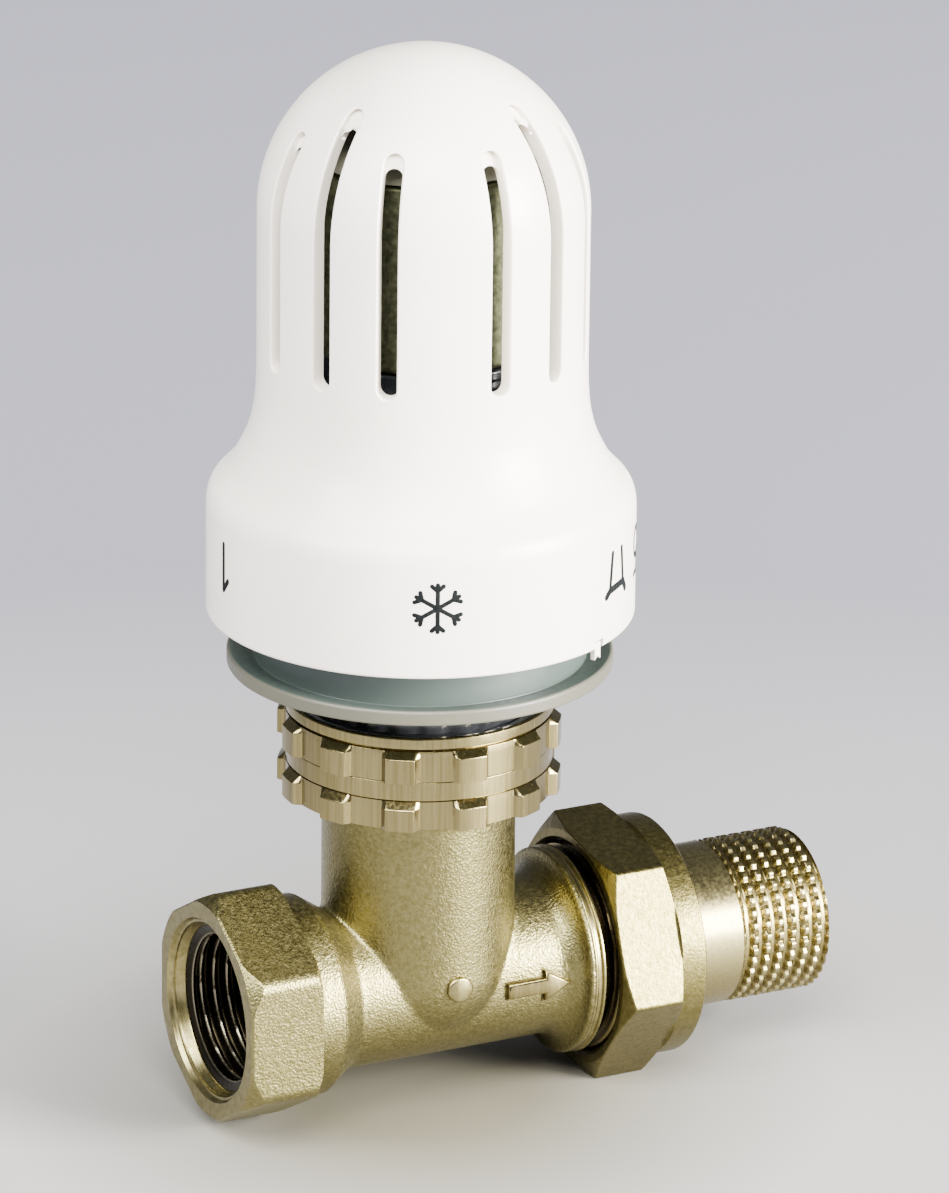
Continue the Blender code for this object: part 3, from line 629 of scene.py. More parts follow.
def inlet():
    """The inlet: a blasted hexagon and collar, a machined mouth and a threaded socket made dark with
    painted shade.
    """
    flats, rounding, face_r, back_r = 27.0, 2.0, 13.9, 14.6
    hex_end, collar_end, collar_r = 9.8, 13.4, 12.75
    socket_r, thread_depth, thread_start, thread_end = 9.3, 1.1, 2.5, 12.4
    first_corner = math.pi / 6
    angles = hexagon_angles(first_corner, near_corner=3.8)

    def face_edge(angle):
        """The hexagon's radius at an angle, and the radius of its front face's edge."""
        side_r = hexagon_radius(angle - first_corner, flats, rounding)
        return side_r, min(side_r - 0.22, face_r)

    def hexagon(angle):
        side_r, edge = face_edge(angle)
        chamfer = max(0.25, (side_r - face_r) * 1.15)
        back = hex_end - 0.15 - max(0.0, side_r - back_r) * 0.5
        outline = [(12.3, 0.45), (edge - 0.05, 0.45), (edge + 0.01, 0.02), (side_r, chamfer, 0.12)]
        outline += [(side_r, back, 0.3), (min(side_r, back_r), hex_end, 0.15)]
        outline += [(collar_r, hex_end + 0.1, 0.25), (collar_r, collar_end - 0.1, 0.5)]
        outline += [(12.3, collar_end + 0.1), (10.3, collar_end + 0.1)]
        return softened(outline, 3, closed=True)

    def mouth(angle):
        edge = face_edge(angle)[1]
        outline = [(edge, 0.0, 0.06), (edge, 0.4), (12.1, 0.5), (12.1, 2.7), (10.3, 2.7), (10.45, 1.9, 0.1)]
        outline += [(11.05, 0.95, 0.05), (11.1, 0.7), (11.4, 0.6, 0.05), (11.75, 0.0, 0.1)]
        return softened(outline, 3, closed=True)

    def socket(angle):
        threads = []
        for x in np.linspace(thread_start, thread_end, 76):
            fade = min(1.0, (x - thread_start) / 0.8, (thread_end - x) / 0.8)
            threads.append((socket_r + thread_depth * wave(x, PIPE_PITCH, angle) ** 0.7 * fade, x))
        inner = [(0.0, 17.5), (6.5, 17.5), (6.5, 15.0), (socket_r, 12.9), *threads[::-1], (10.35, 1.95)]
        return [*inner, (11.9, 2.0), (11.9, 13.0), (7.4, 15.6), (7.4, 18.0), (0.0, 18.0)]

    mesh = swept("inlet_hexagon", hexagon, angles, along_x=True)
    piece("inlet_hexagon", mesh, "valve_body", "nickel_cast")
    mesh = swept("inlet_mouth", mouth, angles, along_x=True)
    piece("inlet_mouth", mesh, "valve_body", "nickel_cast", material=TURNED)
    mesh = swept("inlet_socket", socket, circle(160), along_x=True, loop=False)
    piece("inlet_socket", mesh, "valve_body", "nickel_cast", material=SOCKET_THREAD)


def outlet():
    """The outlet: a machined ring at the flange, then an undercut and a thread round a bore."""
    ring = [(12.0, 47.3), (12.9, 47.6), (13.12, 47.92, 0.06), (13.12, 48.15, 0.05)]
    ring += [(12.95, 48.3, 0.05), (12.95, 48.75, 0.05), (13.3, 48.9, 0.05), (13.3, 49.25, 0.1)]
    ring += [(12.4, 49.35), (12.0, 49.3)]
    mesh = turned("outlet_ring", softened(ring, 3, closed=True), 180, along_x=True)
    piece("outlet_ring", mesh, "valve_body", "nickel_cast", material=TURNED)
    crest_r, thread_depth, undercut_r = 13.2, 0.9, 12.15
    thread = np.linspace(50.6, OUTLET_END - 0.7, 60)
    start = [(0.0, 44.0), (7.3, 44.0), (7.3, 46.0), (11.8, 47.5), (undercut_r, 49.3), (undercut_r, 50.45)]
    end = [(12.8, OUTLET_END - 0.3), (12.4, OUTLET_END, 0.2), (6.5, OUTLET_END, 0.3)]
    end = softened([*end, (6.5, 44.4), (0.0, 44.2)], 3)

    def section(angle):
        threads = []
        for x in thread:
            fade = min(1.0, max(0.0, thread[-1] - x) / 0.6)
            groove = thread_depth * wave(x, PIPE_PITCH, angle) ** 1.3 * fade
            threads.append((crest_r - groove - 0.35 * (1 - fade), x))
        return [*start, *threads, *end]

    mesh = swept("outlet_thread", section, circle(160), along_x=True, loop=False)
    # The thread's roots and the undercut are darkened with painted shade.
    piece("outlet_thread", mesh, "valve_body", "nickel_cast", material=OUTLET_THREAD)


def crown():
    """The M30 ring that the head screws on, with its bore for the cartridge."""
    pitch, thread_depth, bore_r, foot = 1.5, 0.8, 9.3, 25.5
    thread = np.linspace(27.4, CROWN_TOP - 0.5, 56)

    def section(angle):
        threads = []
        for z in thread:
            fade = min(1.0, (z - thread[0]) / 0.5 + 0.05, (thread[-1] - z) / 0.4 + 0.05)
            threads.append((CROWN_R - 0.15 - thread_depth * wave(z, pitch, -angle) ** 1.3 * fade, z))
        top = [(CROWN_R - 0.7, CROWN_TOP), (bore_r + 0.2, CROWN_TOP), (bore_r, CROWN_TOP - 0.2)]
        return [(12.6, foot), (14.2, foot + 1.6), *threads, *top, (bore_r, foot)]

    mesh = swept("crown", section, circle(160))
    piece("valve_body_crown", mesh, "valve_body", "nickel_cast", material=TURNED)


def arrow(tail, neck, tip, shaft, barb):
    """An arrow's outline along X, where shaft and barb are half widths."""
    lower = [(tail, -shaft), (neck, -shaft), (neck, -barb), (tip, 0.0)]
    return lower + [(neck, barb), (neck, shaft), (tail, shaft)]


def flow_marks():
    """The raised flow arrow on the outlet tube, with a thin line of painted shade along its foot, and a
    plain round boss.
    """
    mesh = wrapped("flow_arrow", [arrow(36.7, 41.9, 45.5, 0.95, 1.95)], TUBE_R, 9.7, 11.05, True, 0.3)
    bright = FINISHES["nickel_bright"]
    piece("flow_arrow", mesh, "valve_body", "nickel_cast", material=bright, weighted=False)
    # Painted shade: a dark outline a little wider than the arrow, at its foot.
    shade_outline = arrow(36.45, 41.65, 46.05, 1.2, 2.38)
    mesh = wrapped("arrow_painted_shade", [shade_outline], TUBE_R, 9.7, TUBE_R + 0.05, True, 0.02)
    piece("arrow_painted_shade", mesh, "valve_body", "nickel_cast", material=ARROW_CREASE_SHADE, weighted=False)
    boss_r, boss_z, along = 1.7, 2.3, math.radians(26.5) * NECK_R
    boss = [(along + boss_r * math.cos(angle), boss_z + boss_r * math.sin(angle)) for angle in circle(32)]
    mesh = wrapped("round_boss", [boss], NECK_R, NECK_R - 0.8, NECK_R + 0.55, inset=0.3)
    piece("round_boss", mesh, "valve_body", "nickel_cast", material=TURNED, weighted=False)


# Lock nut, collar and base

def lock_nut():
    """A turned nut with two toothed bands, a plain ring between them and a lip on top."""
    root_r, tooth_r = 16.75, 17.7
    lip_bottom, upper_top, upper_bottom, lower_top = 36.3, 36.0, 32.0, 29.4
    slope = 0.85
    rows = [  # radius, height, whether a tooth raises it, rounding
        (15.95, NUT_TOP, 0, 0.15), (root_r, NUT_TOP, 0, 0.3), (root_r, lip_bottom, 0, 0.12),
        (root_r - 0.6, lip_bottom - 0.02, 0, 0.0), (root_r - 0.6, upper_top, 0, 0.0),
        (root_r - 0.05, upper_top - 0.02, 0, 0.05), (root_r, upper_top - slope, 1, 0.12),
        (root_r, upper_bottom, 1, 0.05), (root_r - 0.3, upper_bottom - 0.02, 0, 0.0),
        (root_r - 0.3, upper_bottom - 0.1, 0, 0.0), (root_r - 0.1, upper_bottom - 0.12, 0, 0.06),
        (root_r - 0.1, lower_top + 0.12, 0, 0.06), (root_r - 0.3, lower_top + 0.1, 0, 0.0),
        (root_r - 0.3, lower_top + 0.02, 0, 0.0), (root_r - 0.03, lower_top, 0, 0.0),
        (root_r, lower_top - slope, 1, 0.12), (root_r, NUT_BOTTOM, 1, 0.06),
        (15.3, NUT_BOTTOM, 0, 0.15), (15.3, RETAINER_Z - 0.85, 0, 0.0), (15.95, RETAINER_Z - 0.75, 0, 0.0),
    ]
    half_base, half_tip = math.radians(8.2), math.radians(5.8)
    pitch = math.radians(30.0)
    first = FRONT - math.radians(7.2)

    def tooth(angle):
        turn = abs((angle - first + pitch / 2) % pitch - pitch / 2)
        return min(1.0, max(0.0, (half_base - turn) / (half_base - half_tip)))

    def section(angle):
        height = tooth(angle) * (tooth_r - root_r)
        return softened([(r + height * raised, z, size) for r, z, raised, size in rows], 3, closed=True)

    side = [5.5, 5.75, 5.85, 6.1, 7.0, 7.9, 8.15, 8.25, 8.5]
    gap = [10.6, 12.8, 15.0, 17.2, 19.4]
    turns = [*(-turn for turn in side[::-1]), -4.0, -2.0, 0.0, 2.0, 4.0, *side, *gap]
    angles = np.array([first + pitch * i + math.radians(turn) for i in range(12) for turn in turns])
    mesh = swept("lock_nut_turned", section, angles)
    piece("lock_nut_turned", mesh, "lock_nut", "nickel_bright", ["lock_nut"])


def collar():
    """The black collet, with shallow ribs round it and eight slots in its top."""
    ribs, outer_r, groove_r, inner_r = 24, 14.7, 13.9, 10.3
    groove_low, groove_top = RETAINER_Z - 0.9, RETAINER_Z + 0.9

    def section(angle):
        dip = 0.28 * (0.5 + 0.5 * math.cos(ribs * (angle - FRONT))) ** 2
        outline = [(outer_r - dip, COLLAR_TOP, 0.2), (outer_r - dip, groove_top), (groove_r, groove_top)]
        outline += [(groove_r, groove_low), (outer_r, groove_low), (outer_r, COLLAR_BOTTOM, 0.3)]
        outline += [(inner_r, COLLAR_BOTTOM, 0.2), (inner_r, COLLAR_TOP, 0.2)]
        return softened(outline, closed=True)

    slot_size, slot_z = (32.0, 1.8, 5.0), 41.0
    turns = [FRONT + math.radians(22.5 + 45 * i) for i in range(4)]
    slots = [block("collar_slot", slot_size, turn, 0.0, slot_z) for turn in turns]
    mesh = cut(swept("collar_moulding", section, circle(288)), slots)
    piece("collar_moulding", mesh, "head_base", "black_plastic", ["collar"])


def base():
    """The grey disc and the upright sleeve on it."""
    sleeve_r, sleeve_inner_r, boss_r, bore_r, boss_top = 20.7, 18.6, 7.2, 5.4, 58.0
    web_top = DISC_BOTTOM + 2.3
    outline = [(sleeve_r, SLEEVE_TOP, 0.3), (sleeve_r, DISC_BOTTOM + 1.3, 0.15)]
    outline += [(DISC_R - 0.25, DISC_BOTTOM + 1.9, 0.3), (DISC_R, DISC_BOTTOM + 1.6, 0.2)]
    outline += [(DISC_R, DISC_BOTTOM, 0.3), (bore_r, DISC_BOTTOM, 0.2), (bore_r, boss_top, 0.2)]
    outline += [(boss_r, boss_top, 0.2), (boss_r, web_top, 0.5), (sleeve_inner_r, web_top, 0.5)]
    outline += [(sleeve_inner_r, SLEEVE_TOP, 0.3)]
    mesh = turned("base_moulding", softened(outline, closed=True), 200)
    piece("base_moulding", mesh, "head_base", "grey_plastic", ["base_ring"])


# Handwheel cap

def cap_outline():
    """The cap's outer profile from the top of the dome down to its rim."""
    dome = arc(0.0, DOME_Z, CAP_TUBE_R, 90, 0, 40)
    dome[0] = (0.0, DOME_Z + CAP_TUBE_R)
    flare = smoothed([(CAP_TUBE_R, 82.0), *CAP_FLARE, (24.6, 66.8)])
    band = [(24.6, 66.8), (26.0, 65.4, 0.8), (CAP_R - 0.03, 63.8, 0.8), (CAP_R, CAP_BAND_TOP - 0.4)]
    band += [(CAP_R, CAP_RIM, 0.45), (24.2, CAP_RIM)]
    return [*dome, *flare, *softened(band, 8)[1:-1]]


OUTER_RADII, OUTER_HEIGHTS = np.array(cap_outline()[::-1]).T


def cap_radius(z):
    """The radius of the cap's outer surface at a height."""
    if z > DOME_Z:
        return math.sqrt(max(CAP_TUBE_R**2 - (z - DOME_Z) ** 2, 0.0))
    return float(np.interp(z, OUTER_HEIGHTS, OUTER_RADII))


def slot_cutter(angle, top, through_top):
    """A cutter for one air slot, with a rounded edge at the surface and a blind part at its top."""
    half = SLOT_WIDTH / 2
    low, high = SLOT_BOTTOM + half, top - half
    outline = []
    for end, other, start in ((high, low, 0.0), (low, high, math.pi)):
        outline += [(end, start + math.pi * i / 12) for i in range(13)]
        outline += [(z, start + math.pi) for z in np.linspace(end, other, 26)[1:-1]]
    bends = [math.radians(bend) for bend in (20, 37, 55, 72, 90)]
    levels = [((1 - math.sin(b)) * SLOT_ROUNDING, (1 - math.cos(b)) * SLOT_ROUNDING, 1.0) for b in bends]
    rise = 0.4
    offset = levels[0][0] + rise * math.cos(bends[0])
    levels.insert(0, (offset, levels[0][1] - rise * math.sin(bends[0]), 1.0))
    share = (through_top - half - low) / (high - low)
    levels += [(0.0, BLIND_DEPTH - 0.15, 1.0), (0.0, BLIND_DEPTH, share), (0.0, None, share)]
    direction = Vector((math.cos(angle), math.sin(angle), 0.0))
    across = Vector((-math.sin(angle), math.cos(angle), 0.0))
    cage = bmesh.new()
    rings = []
    for offset, depth, length in levels:
        ring = []
        for z, turn in outline:
            reach = half + offset
            u, height = reach * math.cos(turn), low + (z - low) * length + reach * math.sin(turn)
            distance = SLOT_INNER_R
            if depth is not None:
                distance = math.sqrt(cap_radius(height) ** 2 - u**2) - depth
            place = direction * distance + across * u + Vector((HEAD_X, 0.0, height))
            ring.append(cage.verts.new(place * MM))
        rings.append(ring)
    for before, after in zip(rings, rings[1:]):
        bridge(cage, before, after)
    count, tip = len(outline), 6  # the point at the slot's upper end
    for ring in (rings[0], rings[-1]):
        for k in range(count // 2):
            corners = [ring[(tip + turn) % count] for turn in (-k, k, k + 1, -k - 1)]
            cage.faces.new(list(dict.fromkeys(corners)))
    bmesh.ops.recalc_face_normals(cage, faces=cage.faces)
    return to_mesh("air_slot", cage)


def attribute(items, name, size, kind=float):
    """An attribute of all the items, as an array with size numbers for each."""
    values = np.empty(len(items) * size, dtype=kind)
    items.foreach_get(name, values)
    return values.reshape(-1, size)


def true_normals(mesh):
    """Gives the cap's outer surface the exact normals of its profile, unspoilt by the cuts."""
    near = 0.03  # how close to the profile a point on the outer surface is
    x, y, height = (attribute(mesh.vertices, "co", 3) / MM - (HEAD_X, 0.0, 0.0)).T
    radius = np.hypot(x, y)
    surface = np.interp(height, OUTER_HEIGHTS, OUTER_RADII)
    slope = np.gradient(OUTER_RADII, OUTER_HEIGHTS)
    rise = -np.interp(height, OUTER_HEIGHTS, slope)
    length = np.hypot(1.0, rise)
    dome = height > DOME_Z - 0.01
    reach = np.hypot(radius, height - DOME_Z)
    outward = np.where(dome, radius / reach, 1.0 / length) / np.maximum(radius, 1e-9)
    upward = np.where(dome, (height - DOME_Z) / reach, rise / length)
    depth = np.where(dome, reach - CAP_TUBE_R, radius - surface)
    outer = (np.abs(depth) < near) & (height > CAP_RIM + 1.0)
    exact = np.stack([outward * x, outward * y, upward], axis=1)
    corners = attribute(mesh.corner_normals, "vector", 3)
    owner = attribute(mesh.loops, "vertex_index", 1, int)[:, 0]
    chosen = outer[owner] & (np.sum(corners * exact[owner], axis=1) > 0.5)
    corners[chosen] = exact[owner][chosen]
    mesh.normals_split_custom_set(corners.tolist())
    return mesh


def cap():
    """The white cap with its air slots, its inner faces painted dark as shade."""
    throat = [(24.2, 62.5), (23.2, 65.0), (21.7, 67.0), (19.9, 70.0), (18.7, 74.0), (CAP_INNER_R, 80.0)]
    inner = [(24.2, CAP_RIM), *smoothed(throat)]
    roof_r = 18.4
    roof = arc(0.0, DOME_Z, roof_r, math.degrees(math.acos(CAP_INNER_R / roof_r)), 90, 16)
    roof[-1] = (0.0, DOME_Z + roof_r)
    skin = turned("cap", [*cap_outline(), *inner, *roof], 192, loop=False)
    cutters = []
    for group in range(4):
        for place, tops in zip((-1, 0, 1), SLOT_TOPS):
            angle = FIRST_SLOT_GROUP + math.radians(90 * group) + SLOT_SPREAD * place
            cutters.append(slot_cutter(angle, *tops))
    mesh = cut(skin, [*cutters, rim_notch()])
    mesh.set_sharp_from_angle(angle=math.radians(40))
    piece("handwheel_cap", true_normals(mesh), "knob", "white_plastic", ["knob_cap"], weighted=False)
    # Faces that face the axis and lie more than least_wall inside the outer surface get the painted-shade
    # material.
    mesh.materials.append(CAP_INSIDE_SHADE)
    least_wall = 1.6
    for face in mesh.polygons:
        level = min(face.center.z / MM, DOME_Z)
        outward = face.center / MM - Vector((HEAD_X, 0.0, level))
        inside = outward.length < cap_radius(level) - least_wall
        if inside and face.normal.dot(outward.normalized()) < -0.3:
            face.material_index = 1


def block(name, size, angle, radius, height):
    """A box (radial, tangential, vertical) at an angle and radius about the head's axis."""
    cage = bmesh.new()
    bmesh.ops.create_cube(cage, size=1.0)
    bmesh.ops.scale(cage, verts=cage.verts, vec=Vector(size) * MM)
    bmesh.ops.rotate(cage, verts=cage.verts, matrix=Matrix.Rotation(angle, 3, "Z"))
    place = Vector((HEAD_X + radius * math.cos(angle), radius * math.sin(angle), height))
    bmesh.ops.translate(cage, verts=cage.verts, vec=place * MM)
    return to_mesh(name, cage)


def rim_notch():
    return block("rim_notch", (3.0, 1.8, 2.3), TAB_ANGLE, 26.8, CAP_RIM)


def limit_tab():
    """The little tab hung in the rim's notch, with two prongs below."""
    low, high = span("limit_tab", 2)
    inner, outer = CAP_R - 0.9, CAP_R - 0.2
    outline = [(-0.6, low), (-0.2, low + 0.4), (0.2, low + 0.4), (0.6, low), (0.6, high), (-0.6, high)]
    direction = Vector((math.cos(TAB_ANGLE), math.sin(TAB_ANGLE), 0.0))
    across = Vector((-math.sin(TAB_ANGLE), math.cos(TAB_ANGLE), 0.0))
    cage = bmesh.new()
    rings = []
    for distance in (inner, outer):
        places = [direction * distance + across * u + Vector((HEAD_X, 0.0, z)) for u, z in outline]
        rings.append([cage.verts.new(place * MM) for place in places])
    bridge(cage, *rings)
    cage.faces.new(rings[0][::-1])
    cage.faces.new(rings[1])
    bmesh.ops.recalc_face_normals(cage, faces=cage.faces)
    bmesh.ops.bevel(cage, geom=cage.edges, offset=0.08 * MM, segments=2, affect="EDGES", profile=0.5)
    mesh = cleaned(to_mesh("limit_tab", cage))
    piece("limit_tab_moulding", mesh, "knob", "white_plastic", ["limit_tab"])


# Marks on the band

DIGITS = {  # each number's strokes, in a box 3 wide and 6 high about the origin
    1: [[(-1.2, 1.5), (0.0, 2.95), (0.0, -2.95)]],
    2: [[*arc(0.0, 1.45, 1.5, 170, -35, 14), (-1.5, -2.95), (1.6, -2.95)]],
    3: [arc(-0.1, 1.5, 1.4, 160, -80, 14, 1.45), arc(-0.1, -1.4, 1.6, 80, -160, 14, 1.55)],
    4: [[(0.8, -2.95), (0.8, 2.95), (-1.6, -1.2), (1.7, -1.2)]],
    5: [[(1.3, 2.95), (-1.1, 2.95), (-1.3, 0.2), *arc(-0.1, -1.05, 1.6, 125, -150, 14, 1.85)]],
}


def snowflake(length=3.0, barb=0.95):
    """Six arms, each with two barbs three quarters of the way out."""
    lines = []
    for i in range(6):
        arm = math.radians(90 + 60 * i)
        tip = (length * math.cos(arm), length * math.sin(arm))
        lines.append([(0.0, 0.0), tip])
        for side in (-48, 48):
            turn = arm + math.radians(side)
            root = (0.74 * tip[0], 0.74 * tip[1])
            lines.append([root, (root[0] + barb * math.cos(turn), root[1] + barb * math.sin(turn))])
    return lines


def dial_marks():
    """The printed numbers, frost mark and open mark. They read from above, so they stand upside down."""
    frost_at, first_at, number_step, open_at = 4.95, -64.6, 52.85, 65.8  # degrees from the front
    frost_z, number_z, open_z = 58.23, 57.9, 57.9
    outlines = []

    def place(lines, degrees, height, width):
        shift = math.radians(degrees) * CAP_R
        for line in lines:
            points = [(shift - x, height - y) for x, y in line]
            outlines.extend(stroke(points, width))

    place(snowflake(), frost_at, frost_z, 0.56)
    for number, strokes in DIGITS.items():
        place(strokes, first_at - number_step * (number - 1), number_z, 0.7)
    legs = [[(1.6, -2.7), (2.2, 2.2)], [(-1.0, -2.7), (-1.6, 2.1)]]
    feet = [(3.0, 2.6), (2.2, 2.0), (-1.6, 1.8), (-2.4, 3.0)]
    place(legs, open_at, open_z, 0.7)
    place([feet], open_at, open_z, 0.95)
    mesh = wrapped("dial_marks", outlines, CAP_R, CAP_R - 0.15, CAP_R + 0.03, inset=0.02)
    piece("dial_marks", mesh, "knob", "black_plastic", material=PRINT, weighted=False)


# Sensor

def sensor():
    """The drawn can, its pale shoulder greyed with painted shade, and its black foot."""
    can = [(0.0, CAN_TOP - 4.0), (7.0, CAN_TOP - 4.0), (7.0, CAN_TOP, 0.2), (CAN_R, CAN_TOP, 0.5)]
    can += [(CAN_R, CAN_BOTTOM, 0.5), (0.0, CAN_BOTTOM)]
    mesh = turned("can", softened(can), 96, loop=False)
    piece("sensor_can_drawn", mesh, "sensor", "sensor_metal", ["sensor_can"])
    low, high = span("sensor_cap", 2)
    shoulder = arc(10.6, CAN_TOP + 0.3, 2.8, 90, 0, 12, 2.7)
    top = [(0.0, low + 1.0), (5.8, low + 1.0), (5.8, high), *shoulder]
    top += [(6.7, CAN_TOP + 0.3), (6.7, low), (0.0, low)]
    mesh = turned("shoulder", top, 96, loop=False)
    piece("sensor_shoulder", mesh, "sensor", "white_plastic", ["sensor_cap"], material=SHOULDER_SHADE)
    low, high = span("sensor_holder", 2)
    foot = softened([(0.0, high), (CAN_R, high, 0.4), (CAN_R, low, 0.6), (0.0, low)])
    mesh = turned("foot", foot, 96, loop=False)
    piece("sensor_foot", mesh, "sensor", "black_plastic", ["sensor_holder"])


# Springs

def coil(name, radius, wire, low, high, turns):
    """A compression spring with closed ends, on the head's axis."""
    per_turn, closed = 28, 0.9
    top, end = high - low - wire, wire * closed
    points = []
    for i in range(turns * per_turn + 1):
        turn = i / per_turn
        rise = np.interp(turn, (0, closed, turns - closed, turns), (0, end, top - end, top))
        angle = 2 * math.pi * turn
        points.append((HEAD_X + radius * math.cos(angle), radius * math.sin(angle), low + wire / 2 + rise))
    curve = bpy.data.curves.new(name, "CURVE")
    curve.dimensions = "3D"
    curve.bevel_depth = wire / 2 * MM
    curve.bevel_resolution = 4
    curve.use_fill_caps = True
    spline = curve.splines.new("POLY")
    spline.points.add(len(points) - 1)
    for point, place in zip(spline.points, points):
        point.co = (*(value * MM for value in place), 1.0)
    return cleaned(frozen(loose(name, curve)))


def springs():
    """The pin's spring and the sensor's."""
    low, high = span("return_spring", 2)
    wire = coil("return_spring", 3.9, 0.9, low, high, 5)
    nodes = ["return_spring"]
    inner = piece("return_spring_wire", wire, "valve_body", "spring_steel", nodes, weighted=False)
    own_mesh(inner)
    low, high = span("overtravel_spring", 2)
    wire = coil("overtravel_spring", 4.9, 0.9, low, high, 5)
    nodes = ["overtravel_spring"]
    upper = piece("overtravel_spring_wire", wire, "knob", "spring_steel", nodes, weighted=False)
    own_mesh(upper)


# Radiator side

def union_nut():
    """The union's hexagon with its round collar, threaded inside."""
    flats, rounding, hex_end, ring_r, face_r, bore_r = 30.0, 0.5, 59.0, 15.4, 15.2, 10.85
    first_corner = math.radians(9.0)
    thread = np.linspace(UNION_START + 0.7, 60.6, 50)

    def section(angle):
        side_r = hexagon_radius(angle - first_corner, flats, rounding)
        front = max(0.15, (side_r - face_r) * 0.45)
        back = max(0.15, (side_r - ring_r) * 0.45)
        outer = [(14.1, UNION_START, 0.15), (min(side_r, face_r) - 0.12, UNION_START, 0.12)]
        outer += [(side_r, UNION_START + front, 0.18), (side_r, hex_end - back, 0.18)]
        outer += [(ring_r, hex_end, 0.1), (ring_r, UNION_END, 0.5), (bore_r, UNION_END, 0.15)]
        outer += [(bore_r, 61.7, 0.1), (14.3, 61.7), (14.3, 60.7)]
        threads = []
        for x in thread[::-1]:
            fade = min(1.0, (x - thread[0]) / 0.6)
            threads.append((13.5 + 0.7 * wave(x, PIPE_PITCH, angle) * fade, x))
        return [*softened(outer, 3), *threads]

    mesh = swept("union_nut", section, hexagon_angles(first_corner), along_x=True)
    piece("union_nut_forged", mesh, "union_nut", "nickel_cast", ["union_nut"], material=FORGED)


def tailpiece():
    """The radiator tail, with a coarse thread that is notched along the pipe."""
    collar_end, collar_r, plain_r, bore_r, thread_x = TAIL_START + 1.6, 12.0, 10.45, 6.9, 70.3
    root_r, tip_r, ridges, notches = 9.75, 10.5, 7, 38
    pitch = (TAIL_END - thread_x) / ridges
    rows = np.linspace(thread_x + 0.25, TAIL_END - 0.35, 96)
    start = [(bore_r, TAIL_START, 0.2), (collar_r, TAIL_START, 0.2), (collar_r, collar_end, 0.2)]
    start = softened([*start, (plain_r, collar_end + 0.1, 0.2), (plain_r, thread_x, 0.12)], 3)
    end = [(10.1, TAIL_END - 0.2), (9.8, TAIL_END, 0.15), (bore_r, TAIL_END, 0.3), (bore_r, TAIL_END - 2.0)]
    end = softened(end, 3)

    def section(angle):
        across = 0.5 + 0.5 * math.cos(notches * angle)
        notch = 0.55 * min(1.0, max(0.0, across * 1.9 - 0.9))
        crests = []
        for x in rows:
            ridge = min(1.0, max(0.0, wave(x - thread_x, pitch, angle) * 1.7 - 0.3))
            fade = min(1.0, (x - rows[0]) / 0.5)
            crests.append((root_r + (tip_r - root_r) * ridge * (1 - notch) * fade, x))
        return [*start, *crests, *end]

    mesh = swept("tailpiece", section, circle(notches * 9), along_x=True)
    # Painted shade at the thread's roots.
    piece("tailpiece_turned", mesh, "tail", "nickel_cast", ["tailpiece"], material=KNURL)


# Camera, floor and light

def heading(azimuth, elevation):
    """The direction to a camera or light at an azimuth from the front and an elevation."""
    level = math.cos(elevation)
    return Vector((math.sin(azimuth) * level, -math.cos(azimuth) * level, math.sin(elevation)))


def camera():
    """The main view: from the front left and a little above, through a long lens."""
    azimuth, elevation, roll = math.radians(-26.76), math.radians(19.75), math.radians(0.657)
    distance, focal_length, aim_z, aim_right = 1037.2, 252.9, 50.36, 6.7
    right = Vector((math.cos(azimuth), math.sin(azimuth), 0.0))
    back = heading(azimuth, elevation)
    up = back.cross(right)
    target = Vector((HEAD_X, 0.0, aim_z)) + right * aim_right
    right, up = right * math.cos(roll) + up * math.sin(roll), up * math.cos(roll) - right * math.sin(roll)
    lens = bpy.data.cameras.new("camera")
    lens.lens = focal_length
    lens.clip_start, lens.clip_end = 0.05, 20.0
    obj = loose("camera", lens)
    basis = Matrix((right, up, back)).transposed().to_4x4()
    obj.matrix_world = Matrix.Translation((target + back * distance) * MM) @ basis
    bpy.context.scene.camera = obj


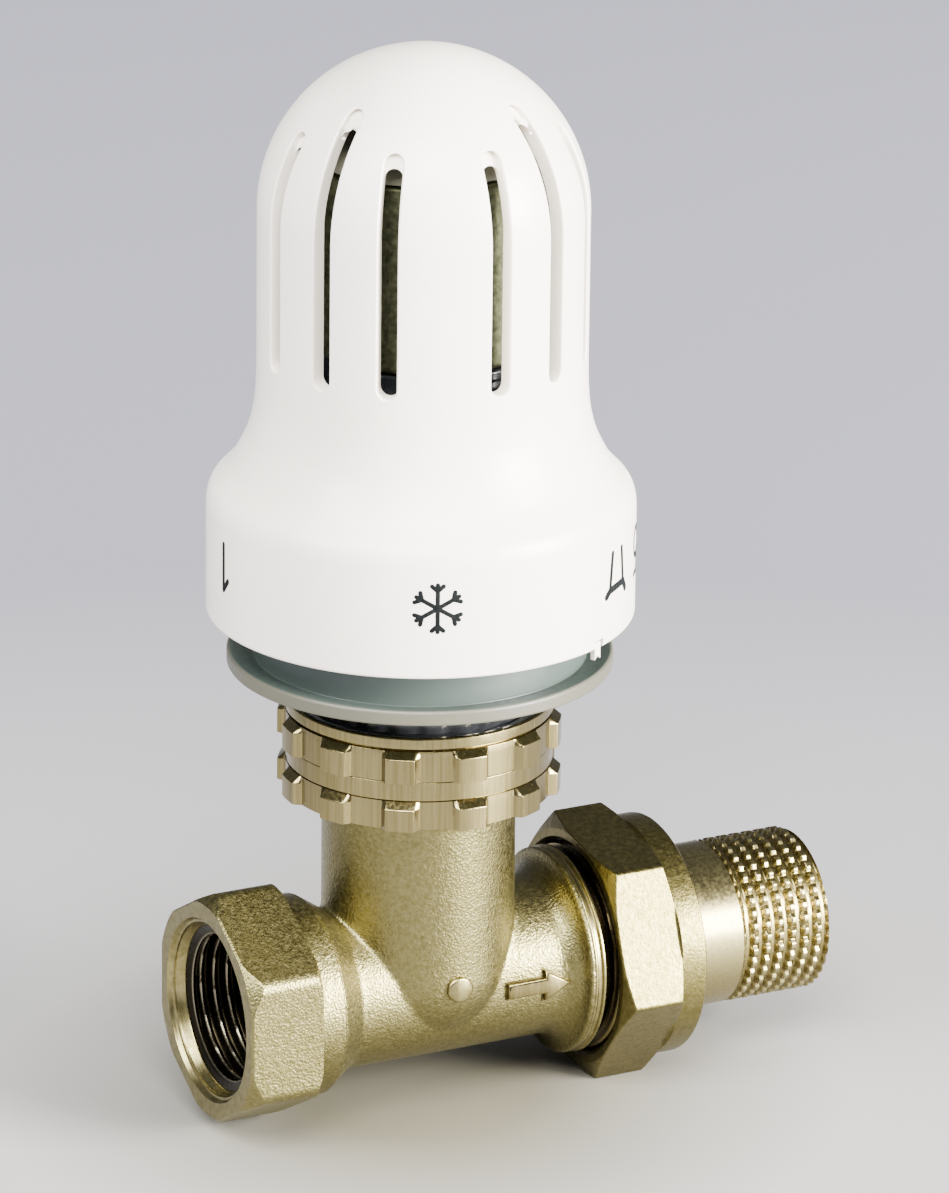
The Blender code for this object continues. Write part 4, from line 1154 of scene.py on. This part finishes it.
def floor():
    """A pale floor under the part, darker beneath it with a painted shadow, and with tones that change with
    distance as painted light.
    """
    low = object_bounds()[0].z
    cage = bmesh.new()
    bmesh.ops.create_circle(cage, cap_ends=True, segments=96, radius=4.0)
    obj = loose("floor", to_mesh("floor", cage))
    obj.location.z = low
    finish = Finish("floor", Roughness=0.55)
    distance = finish.spread(finish.radial(), 0.0, 1.0, (0.0, 500.0))
    # Painted shadow beneath the part, then painted brightness by distance across the floor.
    finish.colours(distance, (0.03, FLOOR_PAINTED_SHADOW), (0.11, FLOOR_NEAR), (0.4, FLOOR_MIDDLE), (1.0, FLOOR_FAR))
    obj.data.materials.append(finish.material)
    obj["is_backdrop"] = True


def area_light(name, azimuth, elevation, distance, size, power, colour=(1.0, 1.0, 1.0)):
    """A softbox aimed at the object, from an azimuth and elevation in degrees."""
    back = heading(math.radians(azimuth), math.radians(elevation))
    light = bpy.data.lights.new(name, "AREA")
    light.shape = "RECTANGLE"
    light.size, light.size_y = size
    light.energy = power
    light.color = colour
    obj = loose(name, light)
    obj.location = Vector((HEAD_X, 0.0, 45.0)) * MM + back * distance
    obj.rotation_mode = "QUATERNION"
    obj.rotation_quaternion = (-back).to_track_quat("-Z", "Y")


def lighting():
    """A pale room with a key light from the right and two lights above."""
    world = bpy.data.worlds.new("studio")
    bpy.context.scene.world = world
    world.use_nodes = True
    background = world.node_tree.nodes["Background"]
    background.inputs["Color"].default_value = (0.62, 0.64, 0.70, 1.0)
    background.inputs["Strength"].default_value = 0.31
    area_light("key", 38.0, 14.0, 0.9, (0.45, 0.42), 76.0, (1.0, 0.985, 0.955))
    area_light("top", -30.0, 50.0, 1.1, (0.6, 0.6), 34.0)
    area_light("fill", -80.0, 40.0, 1.1, (0.5, 0.7), 26.0, (0.97, 0.98, 1.0))


# Build

for subpart in frame["record"]["subparts"]:
    node = frame["nodes"][subpart["node"]]
    node.data.materials.clear()
    node.data.materials.append(FINISHES[subpart["material_slot"]])

casting()
inlet()
outlet()
crown()
flow_marks()
lock_nut()
collar()
base()
cap()
limit_tab()
dial_marks()
sensor()
springs()
union_nut()
tailpiece()
camera()
floor()
lighting()
